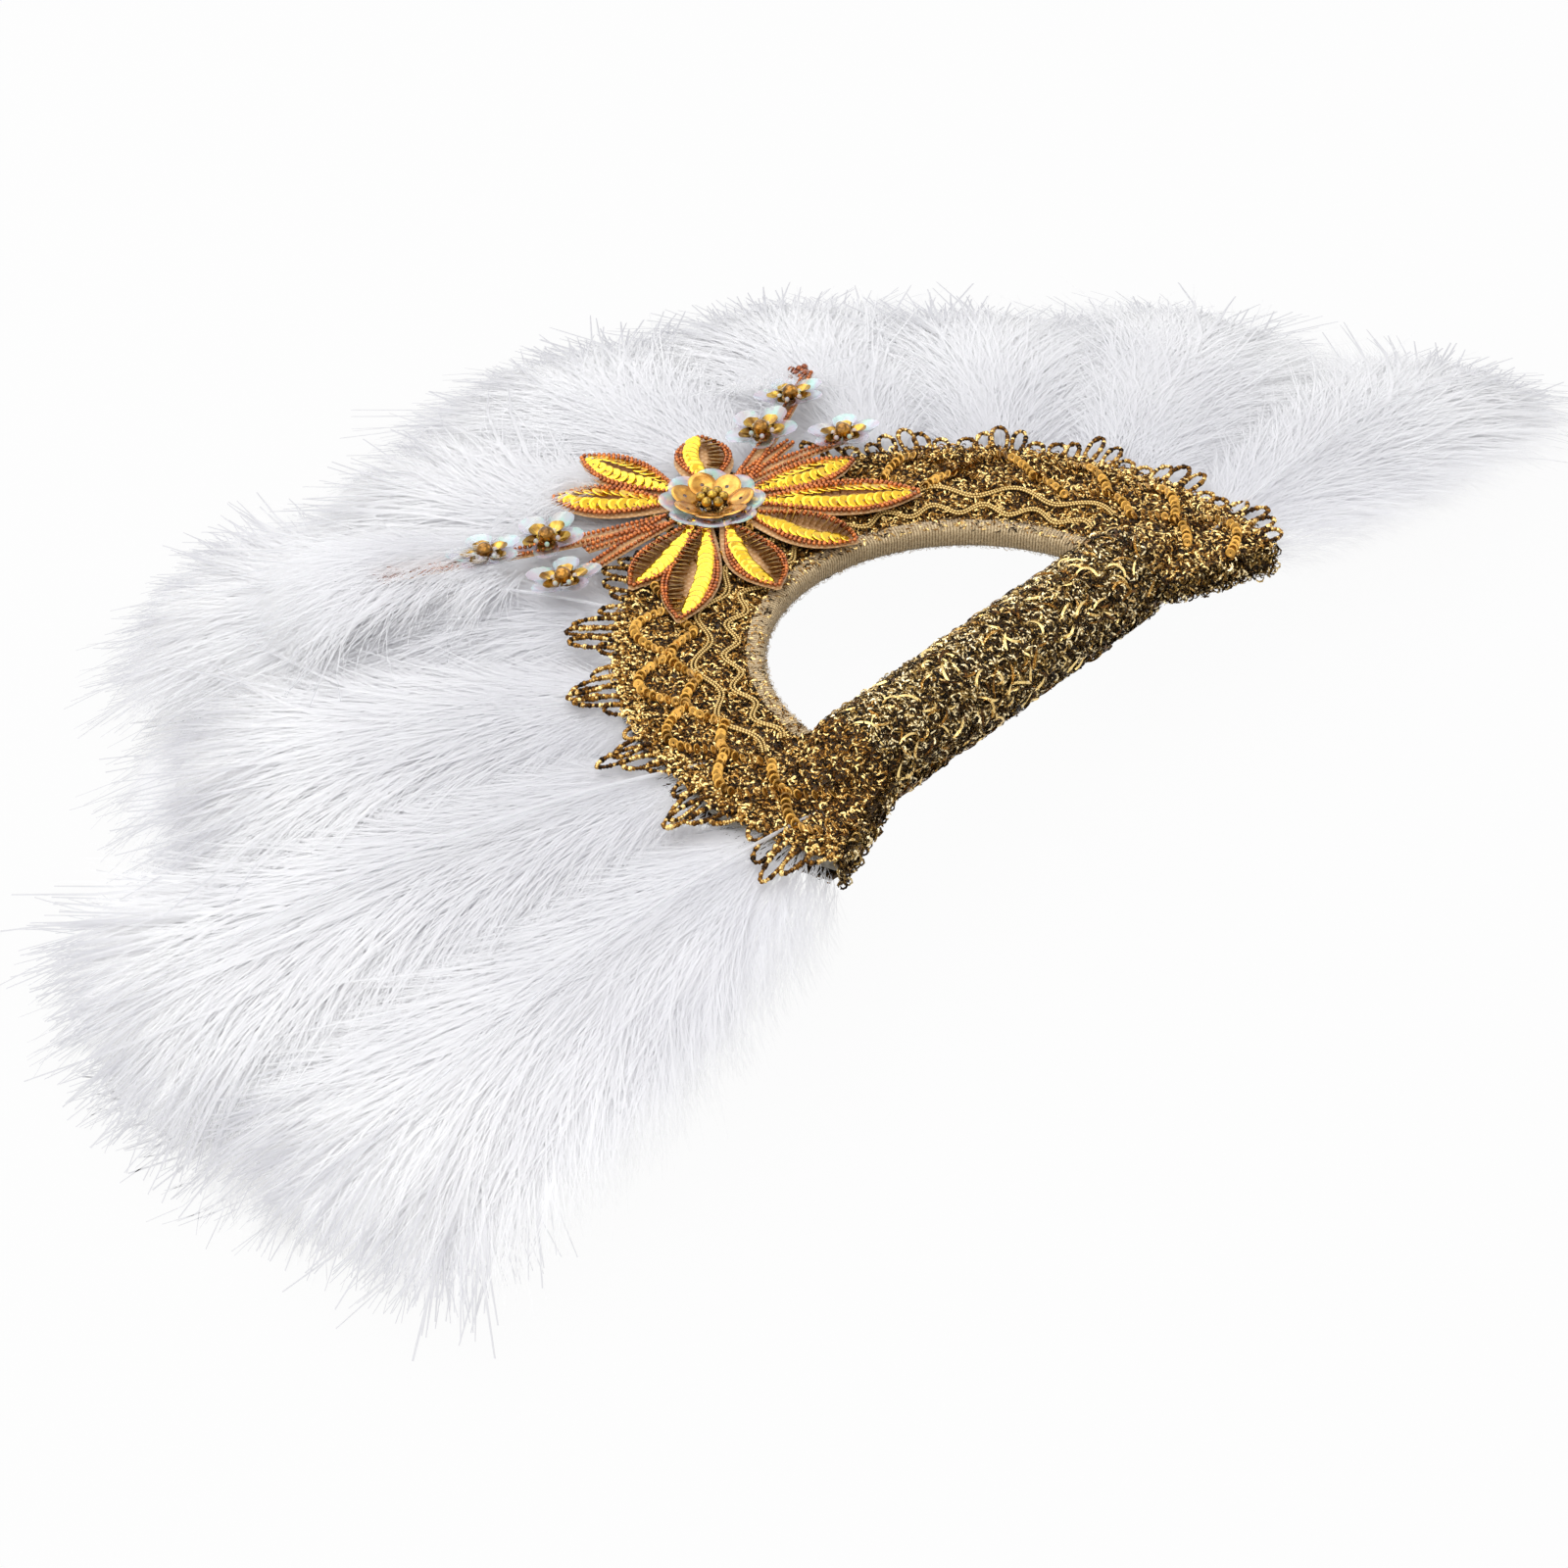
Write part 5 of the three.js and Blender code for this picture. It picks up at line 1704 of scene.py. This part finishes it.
@dataclass
class PaddedHandle:
    """Foam scales on the bar of the board, in a sleeve of matted lace, in millimetres."""

    plan: FanPlan
    trees: Mapping[str, Tree]
    sleeve: float = 13.2
    lump: float = 0.5
    wall: float = 0.8
    around: int = 64
    along: int = 60
    bar_half: float = 2.1
    scale_stations: int = 40
    scale_steps: int = 16
    foam_fill: float = 0.9
    flat: tuple[float, float] = (0.0835, 0.1172)

    def skin(self) -> Shape:
        """Shapes the sleeve.

        Returns:
            Points and faces of its outer face.
        """
        columns = []
        for step in range(self.along + 1):
            x = self.plan.sleeve_half * (2 * step / self.along - 1)
            column = []
            for part in range(self.around + 1):
                turn = math.tau * (part % self.around) / self.around
                spot = Vector((x, self.sleeve * math.cos(turn), self.sleeve * math.sin(turn)))
                radius = self.sleeve + self.lump * noise.noise(spot * 0.16) + 0.4 * self.lump * noise.noise(spot * 0.5)
                column.append(self.plan.place(x, radius * math.cos(turn), radius * math.sin(turn)))
            columns.append(column)
        return grid(columns)

    def scale(self, side: int) -> Shape:
        """Shapes one half-round foam scale with rounded ends.

        Args:
            side: 1 for the front, -1 for the back.

        Returns:
            Points and faces of a closed skin.
        """
        plan = self.plan
        columns = []
        stations, rows = self.scale_stations, self.scale_steps + 1
        for step in range(stations + 1):
            x = plan.pad_reach * (2 * step / stations - 1)
            share = max(0.0, (abs(x) - plan.sleeve_half) / (plan.pad_reach - plan.sleeve_half))
            radius = plan.pad_radius + (plan.pad_end - plan.pad_radius) * share
            column = []
            for part in range(rows):
                turn = math.pi * part / self.scale_steps
                height = self.bar_half + (radius - self.bar_half) * math.sin(turn)
                column.append(plan.place(x, radius * math.cos(turn), side * height))
            columns.append(column)
        points, faces = grid(columns, turned=side < 0)
        for first, turned in ((0, side > 0), (stations * rows, side < 0)):
            loop = tuple(range(first, first + rows))
            faces.append(loop if turned else tuple(reversed(loop)))
        for step in range(stations):
            low = step * rows
            face = (low, low + rows, low + 2 * rows - 1, low + rows - 1)
            faces.append(face if side > 0 else tuple(reversed(face)))
        return points, faces

    def build(self) -> None:
        """Makes the scales, the sleeve and the thread on it."""
        for side, name in ((1, "handle_pad_front"), (-1, "handle_pad_back")):
            scale = adopt(mesh_object(f"{name}_foam", *self.scale(side)), FOAM, name)
        stitch = pattern("matting", curls([(0.8, 190, 0.5), (1.3, 140, 0.7), (1.0, 250, 0.4), (1.9, 90, 0.6)], 0.42))
        strand = pattern("strand", curls([(4.0, 110, 0.9), (2.6, 170, 0.8), (6.5, 70, 0.9)], 0.6, 10))
        glint = pattern("glint", [sequin(0.1, 0.2, 8)])
        skin = self.skin()
        for name, finish, stock, *spread in (
            ("thread", HANDLE_THREAD, stitch, 51, 1.7e6, (0.7, 1.25), 0.6, 0.95),
            ("strand", LACE_THREAD, strand, 52, 7.5e4, (0.7, 1.3), 0.12, 1.3),
            ("glint", AMBER_FOIL, glint, 53, 7.0e3, (0.7 * MM, 1.3 * MM), 0.6, 1.0),
        ):
            layer = strewn(f"handle_{name}", skin, self.trees["scatter"], finish, stock, *spread)
            adopt(layer, finish)
        base = mesh_object("handle_wrap_sleeve", *skin)
        sleeve = adopt(solidified(base, self.wall * MM), LACE_GROUND, "handle_wrap")


class Sheen(Enum):
    """Which half of a petal shows its sequins flat to the eye; the other half's sequins, where there is one, are
    painted darker as shade.
    """

    LEFT = 1
    RIGHT = -1
    BOTH = 0


@dataclass(frozen=True)
class Petal:
    """One petal, in millimetres and degrees from the flower's middle."""

    angle: float
    length: float
    width: float
    sheen: Sheen


@dataclass(frozen=True)
class Spray:
    """One side spray: its root angle, and angle and distance of stems, blossoms and bud."""

    name: str
    root: float
    stems: tuple[tuple[float, float], ...]
    blossoms: tuple[tuple[float, float], ...]
    bud: tuple[float, float]


@dataclass
class FlowerSpray:
    """Sequinned flower with two beaded sprays, in millimetres and degrees."""

    plan: FanPlan
    trees: Mapping[str, Tree]
    petals: tuple[Petal, ...] = (
        Petal(49, 36, 16, Sheen.LEFT), Petal(99, 46, 14, Sheen.BOTH), Petal(128, 46, 14, Sheen.BOTH),
        Petal(194, 46, 11.4, Sheen.LEFT), Petal(214, 57, 15.0, Sheen.LEFT), Petal(247, 45, 15, Sheen.RIGHT),
        Petal(288, 45, 15, Sheen.RIGHT), Petal(318, 60, 15.6, Sheen.BOTH), Petal(342, 47, 12, Sheen.BOTH)
    )
    sprays: tuple[Spray, ...] = (
        Spray("left", 165, ((154, 98), (165, 42), (177, 55)), ((155, 50), (156, 69), (177, 57)), (154, 98)),
        Spray("right", 10, ((21, 78), (8, 40), (-6, 52)), ((21, 40), (20, 61), (-6, 52)), (23, 78))
    )
    root: float = 10.0
    bead: float = 0.66
    sequin: float = 2.5
    pitch: float = 2.3
    margin: float = 0.9
    lean_to: float = 216.0
    lean_climb: float = 49.5
    cloth: float = 0.2
    cloth_rise: float = 0.06
    flat: tuple[float, float] = (0.18, 0.11)
    flat_area: float = 0.0063
    stem_start: float = 15.0
    strings: tuple[float, ...] = (-2.0, 2.0)
    strips: tuple[float, ...] = (-3.0, -1.0, 1.0, 3.0)
    rims: tuple[float, ...] = (1.0, 0.84, -0.84, -1.0)
    sewn_from: float = 0.05
    sewn_to: float = 0.93
    bud_level: float = 7.2
    bud_grains: int = 16

    def half_width(self, petal: Petal, share: float) -> float:
        """Gives a petal's half width at a share of its length."""
        return max(0.7, petal.width / 2 * math.sin(math.pi * min(1.0, share) ** 1.4) ** 0.78)

    def petal_line(self, petal: Petal, side: float, lift: float, first: float, last: float) -> list[Vector]:
        """Lays a line along a petal.

        Args:
            petal: The petal.
            side: Share of the half width to which it keeps, left of the middle if positive.
            lift: Height over the petal's ground.
            first: Share of the length where it starts.
            last: Share of the length where it ends.

        Returns:
            Points of the line.
        """
        points = []
        for share in spaced(first, last, 24):
            distance = self.root + (petal.length - self.root) * share
            aside = side * self.half_width(petal, share)
            points.append(self.plan.flower(distance, petal.angle, self.plan.petal_level + lift, aside))
        return points

    def stem_line(self, spray: Spray, stem: tuple[float, float], aside: float, lift: float) -> list[Vector]:
        """Lays a stem from the flower to its end.

        Args:
            spray: Its spray.
            stem: Angle and distance of its end.
            aside: Distance to the left of its middle line.
            lift: Height over the organza.

        Returns:
            Points of the line.
        """
        angle, reach = stem
        level = self.plan.organza_level + lift
        start = self.plan.flower(self.stem_start, spray.root, level)
        knee = self.plan.flower((self.stem_start + reach) / 2, (spray.root + 2 * angle) / 3, level)
        end = self.plan.flower(reach, angle, level)
        points = []
        for share in spaced(0, 1, 24):
            point = start.lerp(knee, share).lerp(knee.lerp(end, share), share)
            ahead = (knee - start).lerp(end - knee, share)
            points.append(point + UP.cross(ahead).normalized() * aside * MM * (1 - 0.5 * share))
        return points

    def organza(self) -> list[Shape]:
        """Cuts the backing.

        Returns:
            A leaf under each petal and a strip under each stem.
        """
        shapes = []
        for number, petal in enumerate(self.petals):
            level = self.plan.organza_level + self.cloth_rise * number
            columns = []
            for share in spaced(0, 1, 16):
                distance = 6 + (petal.length + self.margin - 6) * share
                half = self.half_width(petal, share) + self.margin * math.sin(math.pi * min(1, share + 0.1)) ** 0.3
                asides = [half * (row / 2 - 1) for row in range(5)]
                columns.append([self.plan.flower(distance, petal.angle, level, aside) for aside in asides])
            shapes.append(grid(columns, turned=True))
        for spray in self.sprays:
            for number, stem in enumerate(spray.stems):
                lift = 0.6 + self.cloth_rise * number
                rows = [self.stem_line(spray, stem, aside, lift) for aside in self.strips]
                shapes.append(grid(list(zip(*rows)), turned=True))
        return shapes

    def tilt(self, petal: Petal, facing: float) -> float:
        """Gives the tilt at which a petal's discs face the side that the spray is seen from.

        Args:
            petal: The petal.
            facing: Cosine between a disc's face and that side.

        Returns:
            The tilt towards the petal's end, in radians.
        """
        climb, apart = math.radians(self.lean_climb), math.radians(petal.angle - self.lean_to)
        upward, along = math.sin(climb), math.cos(climb) * math.cos(apart)
        most = math.hypot(upward, along)
        turn = math.acos(min(1.0, facing / most))
        return math.atan2(along, upward) - math.copysign(turn, along)

    def build_petal(self, number: int, petal: Petal, disc: Stock) -> None:
        """Sews the sequins of one petal.

        Args:
            number: Its number.
            petal: The petal.
            disc: Pattern of a sequin.
        """
        name = f"flower_petal_{number:02d}"
        ends = (self.sewn_from, self.sewn_to)
        room = 2.3 * self.sequin * 0.5 + 2.2
        taper = [min(1.0, max(0.55, self.half_width(petal, share) / room)) for share in spaced(*ends, 24)]
        rows = []
        for side in (1, -1):
            # Halves whose discs turn away get the darker foil as painted shade; the halves that face the eye get the
            # plain gold foil.
            lift, facing, pitch, roll, finish = 1.2, 0.13, 0.88, 0, PAINTED_SHADE_FOIL
            if petal.sheen is Sheen.BOTH:
                lift, facing, pitch, roll, finish = 0.9, 0.72, 1.12, -16 * side, GOLD_FOIL
            elif petal.sheen.value == side:
                lift, facing, pitch, roll, finish = 0.9, 0.86, 1.0, 4 * side, GOLD_FOIL
            line = self.petal_line(petal, 0.46 * side, lift, *ends)
            row = {"Spacing": pitch * self.pitch * MM, "Size": self.sequin * MM, "Size_scatter": 0.03}
            lean = {"Tilt": self.tilt(petal, facing), "Roll": math.radians(roll), "Turn_scatter": 0.1}
            look = {"Palest": 1.0, "Seed": 60 + number, **row, **lean}
            rows.append(sewn(f"{name}_row_{side}", [line], self.trees["beading"], finish, disc, [taper], **look))
        adopt(joined(f"{name}_sequins", rows), GOLD_FOIL, name)

    def build_middle(self) -> None:
        """Nests the clear discs, the amber discs and the beads of the flower's middle."""
        plan = self.plan
        tiers = []
        for count, radius, size, level, lean, spin in ((8, 10.2, 5.6, 7.8, 16, 0), (7, 8.3, 4.3, 8.8, 24, 12)):
            shapes = []
            for number in range(count):
                angle = 360 * number / count + spin
                spot = plan.flower(radius, angle, level + 0.25 * (number % 2))
                turn = Matrix.Rotation(math.radians(angle), 4, "Z") @ Matrix.Rotation(math.radians(-lean), 4, "Y")
                seat = Matrix.Translation(spot) @ turn @ Matrix.Scale(size * MM, 4)
                shapes.append(moved(sequin(0.12, 0.14, 24), seat))
            tiers.append(shapes)
        adopt(gathered("flower_cup_discs", tiers[0]), IRIS, "flower_cup")
        adopt(gathered("flower_disc_ring_discs", tiers[1]), AMBER_FOIL, "flower_disc_ring")
        beads = [plan.flower(0, 0, 10.6), *(plan.flower(3.3, 60 * n + 15, 10.0) for n in range(6))]
        shapes = [moved(ball(12, 8), Matrix.Translation(spot) @ Matrix.Scale(1.6 * MM, 4)) for spot in beads]
        adopt(gathered("flower_bead_cluster_beads", shapes), BEAD_GOLD, "flower_bead_cluster")

    def ribbed_cup(self, radius: float, height: float, lobes: int, ribs: int) -> Shape:
        """Presses a lobed cup with fine ribs.

        Args:
            radius: Its radius.
            height: Its height at the rim.
            lobes: Number of lobes.
            ribs: Number of ribs around.

        Returns:
            Points and faces about the origin, facing up.
        """
        sides, rings = 100, 6
        points = []
        for ring in range(rings):
            share = 0.15 + 0.85 * ring / (rings - 1)
            for step in range(sides):
                turn = math.tau * step / sides
                notch = 1 - 0.6 * share**1.5 * (1 - abs(math.sin(lobes * turn / 2)) ** 0.55)
                rise = height * share**1.6 + 0.12 * share * math.sin(ribs * turn)
                reach = radius * share * notch
                points.append(Vector((reach * math.cos(turn), reach * math.sin(turn), rise)) * MM)
        return points, ring_faces(rings, sides)

    def beaded(self, name: str, lines: Sequence[Sequence[Vector]], bead: Stock, spacing: float, seed: int) -> Piece:
        """Sews a row of seed beads along lines.

        Args:
            name: Name of the row.
            lines: Points of each line.
            bead: Pattern of a bead.
            spacing: Distance between beads.
            seed: Seed of the row.

        Returns:
            The row.
        """
        row = {"Size": self.bead * MM, "Size_scatter": 0.12, "Turn_scatter": 0.6, "Palest": 1.0}
        return sewn(name, lines, self.trees["beading"], COPPER, bead, Spacing=spacing * MM, Seed=seed, **row)

    def build_blossom(self, name: str, seat: Matrix) -> None:
        """Makes one blossom: a clear cup and a gilt heart with a stone and five clear grains.

        Args:
            name: Its name.
            seat: Where it goes.
        """
        film = moved(self.ribbed_cup(radius=11.2, height=3.6, lobes=5, ribs=45), seat)
        adopt(gathered(f"{name}_cup_film", [film]), IRIS, f"{name}_cup")
        lift = seat @ Matrix.Translation((0, 0, 0.9 * MM))
        set_in = lift @ Matrix.Translation((0, 0, 2.6 * MM)) @ Matrix.Scale(2.5 * MM, 4)
        grain = Matrix.Translation((3.3 * MM, 0, 1.7 * MM)) @ Matrix.Scale(0.8 * MM, 4)
        around = [Matrix.Rotation(math.tau * (step + 0.5) / 5, 4, "Z") for step in range(5)]
        heart = []
        for part, finish, shapes in (
            ("inner", LEAF_FOIL, [moved(self.ribbed_cup(radius=7.2, height=2.4, lobes=5, ribs=15), lift)]),
            ("stone", STONE, [moved(ball(12, 8), set_in)]),
            ("strass", IRIS, [moved(ball(8, 5), lift @ turn @ grain) for turn in around]),
        ):
            heart.append(gathered(f"{name}_{part}", shapes))
            heart[-1].data.materials.append(finish.material())
        adopt(joined(f"{name}_heart_stone", heart), LEAF_FOIL, f"{name}_heart")

    def build_spray(self, spray: Spray, bead: Stock) -> None:
        """Makes one spray: bead strings, blossoms and bud.

        Args:
            spray: The spray.
            bead: Pattern of a seed bead.
        """
        lines = [self.stem_line(spray, stem, aside, 1.5) for stem in spray.stems for aside in self.strings]
        strings = self.beaded(f"{spray.name}_bead_stems_beads", lines, bead, 1.45, 81)
        adopt(strings, COPPER, f"{spray.name}_bead_stems")
        chance = Random(7)
        for number, (angle, distance) in enumerate(spray.blossoms, 1):
            spot = self.plan.flower(distance, angle, self.plan.blossom_level)
            lean = [Matrix.Rotation(chance.uniform(-0.2, 0.2), 4, axis) for axis in "XY"]
            seat = Matrix.Translation(spot) @ (lean[0] @ lean[1]) @ Matrix.Rotation(chance.uniform(0, 1.2), 4, "Z")
            self.build_blossom(f"{spray.name}_blossom_{number:02d}", seat)
        angle, distance = spray.bud
        grains = []
        for _ in range(self.bud_grains):
            reach, level = distance + chance.uniform(-4, 3), self.bud_level + chance.uniform(-1, 1.2)
            spot = self.plan.flower(reach, angle, level, chance.uniform(-3, 3))
            grains.append(moved(ball(8, 5), Matrix.Translation(spot) @ Matrix.Scale(chance.uniform(0.7, 1.2) * MM, 4)))
        adopt(gathered(f"{spray.name}_bud_grains", grains), COPPER, f"{spray.name}_bud")

    def build(self) -> None:
        """Lays the organza and sews everything else on it."""
        disc = pattern("petal_disc", [sequin(0.1, 0.13, 16)])
        bead = pattern("seed", [ball(8, 5)])
        base = gathered("organza_base_cloth", self.organza())
        cloth = adopt(solidified(base, self.cloth * MM), ORGANZA, "organza_base")
        for number, petal in enumerate(self.petals, 1):
            self.build_petal(number, petal, disc)
        rims = [self.petal_line(petal, side, 0.6, 0.0, 1.0) for petal in self.petals for side in self.rims]
        rim = adopt(self.beaded("petal_rims", rims, bead, 1.42, 71), COPPER)
        self.build_middle()
        for spray in self.sprays:
            self.build_spray(spray, bead)


@dataclass
class Studio:
    """Pale floor, soft light and the camera of the photograph."""

    plan: FanPlan
    azimuth: float = -47.71
    elevation: float = 38.56
    roll: float = -0.28
    distance: float = 849.7
    aside: float = 57.20
    above: float = 32.15
    lens: float = 71.51

    def camera(self) -> None:
        """Places the camera."""
        turn, climb, roll = (math.radians(value) for value in (self.azimuth, self.elevation, self.roll))
        back = Vector((math.sin(turn) * math.cos(climb), -math.cos(turn) * math.cos(climb), math.sin(climb)))
        right = Vector((math.cos(turn), math.sin(turn), 0))
        top = back.cross(right)
        x_axis = right * math.cos(roll) + top * math.sin(roll)
        y_axis = top * math.cos(roll) - right * math.sin(roll)
        data = bpy.data.cameras.new("camera")
        data.lens, data.sensor_width = self.lens, 36.0
        data.clip_start, data.clip_end = 0.01, 50.0
        eye = bpy.data.objects.new("camera", data)
        spot = self.plan.middle + (back * self.distance - x_axis * self.aside - y_axis * self.above) * MM
        eye.matrix_world = Matrix.Translation(spot) @ Matrix((x_axis, y_axis, back)).transposed().to_4x4()
        bpy.context.scene.collection.objects.link(eye)
        bpy.context.scene.camera = eye

    def lamp(self, name: str, spot: tuple[float, float, float], size: float, power: float) -> None:
        """Hangs one soft box aimed at the fan.

        Args:
            name: Its name.
            spot: Its place in metres.
            size: Its side in metres.
            power: Its power in watts.
        """
        data = bpy.data.lights.new(name, "AREA")
        data.size, data.energy = size, power
        box = bpy.data.objects.new(name, data)
        box.location = spot
        box.rotation_euler = Vector(spot).to_track_quat("Z", "Y").to_euler()
        bpy.context.scene.collection.objects.link(box)

    def surroundings(self) -> None:
        """Makes the white surroundings and the pale floor."""
        scene = bpy.context.scene
        scene.view_settings.view_transform = "Standard"
        world = bpy.data.worlds.new("studio")
        scene.world = world
        world.use_nodes = True
        tree = world.node_tree
        tree.nodes.clear()
        seen = self.seen(tree)
        strength = add_node(tree, MAP_RANGE, {0: seen, 3: 0.42, 4: 1.0})
        sky = add_node(tree, "ShaderNodeBackground", {"Color": linear("#FFFFFF"), "Strength": strength})
        add_node(tree, "ShaderNodeOutputWorld", {"Surface": sky})
        paper = bpy.data.materials.new("white backdrop paper")
        paper.use_nodes = True
        tree = paper.node_tree
        tree.nodes.clear()
        seen = self.seen(tree)
        share = add_node(tree, MATH, {0: seen, 1: 0.96}, operation="MULTIPLY")
        matt = add_node(tree, "ShaderNodeBsdfPrincipled", {"Base Color": linear("#B4B4B4"), "Roughness": 0.9})
        glow = add_node(tree, "ShaderNodeEmission", {"Color": linear("#FFFFFF"), "Strength": 1.0})
        mixed = add_node(tree, "ShaderNodeMixShader", {0: share, 1: matt, 2: glow})
        add_node(tree, "ShaderNodeOutputMaterial", {"Surface": mixed})
        half, level = 4.0, -0.5 * MM
        corners = [Vector((x * half, y * half, level)) for x, y in ((-1, -1), (1, -1), (1, 1), (-1, 1))]
        floor = mesh_object("floor", corners, [(0, 1, 2, 3)])
        floor.data.materials.append(paper)

    def seen(self, tree: Tree) -> Node:
        """Adds the switch that is on for what the eye sees, also in metal and through clear film.

        Args:
            tree: The tree that takes it.

        Returns:
            The last node of the switch.
        """
        path = add_node(tree, "ShaderNodeLightPath").outputs
        bent = add_node(tree, MATH, {0: path["Is Glossy Ray"], 1: path["Is Transmission Ray"]}, operation="MAXIMUM")
        return add_node(tree, MATH, {0: path["Is Camera Ray"], 1: bent}, operation="MAXIMUM")

    def build(self) -> None:
        """Sets the whole studio up."""
        self.surroundings()
        self.lamp("key_box", (-0.7, -0.3, 1.4), 1.9, 15.5)
        self.lamp("top_box", (0.2, 0.8, 1.3), 1.5, 13.5)
        self.lamp("right_box", (1.1, -0.6, 0.9), 0.8, 3.5)
        self.lamp("left_box", (-1.3, 0.5, 0.6), 1.0, 4.0)
        self.camera()


def main() -> None:
    """Builds the fan piece by piece."""
    logging.basicConfig(level=logging.INFO, format="%(message)s")
    plan = FanPlan()
    board = frame["nodes"]["core_board"]
    board.data.materials.clear()
    board.data.materials.append(BOARD.material())
    trees = {"scatter": scatter_tree(), "beading": beading_tree(), "cord": cord_tree()}
    PlumeSkirt(plan).build()
    LaceRing(plan, trees).build()
    PaddedHandle(plan, trees).build()
    FlowerSpray(plan, trees).build()
    Studio(plan).build()
    clear_patterns()


if __name__ == "__main__":
    main()
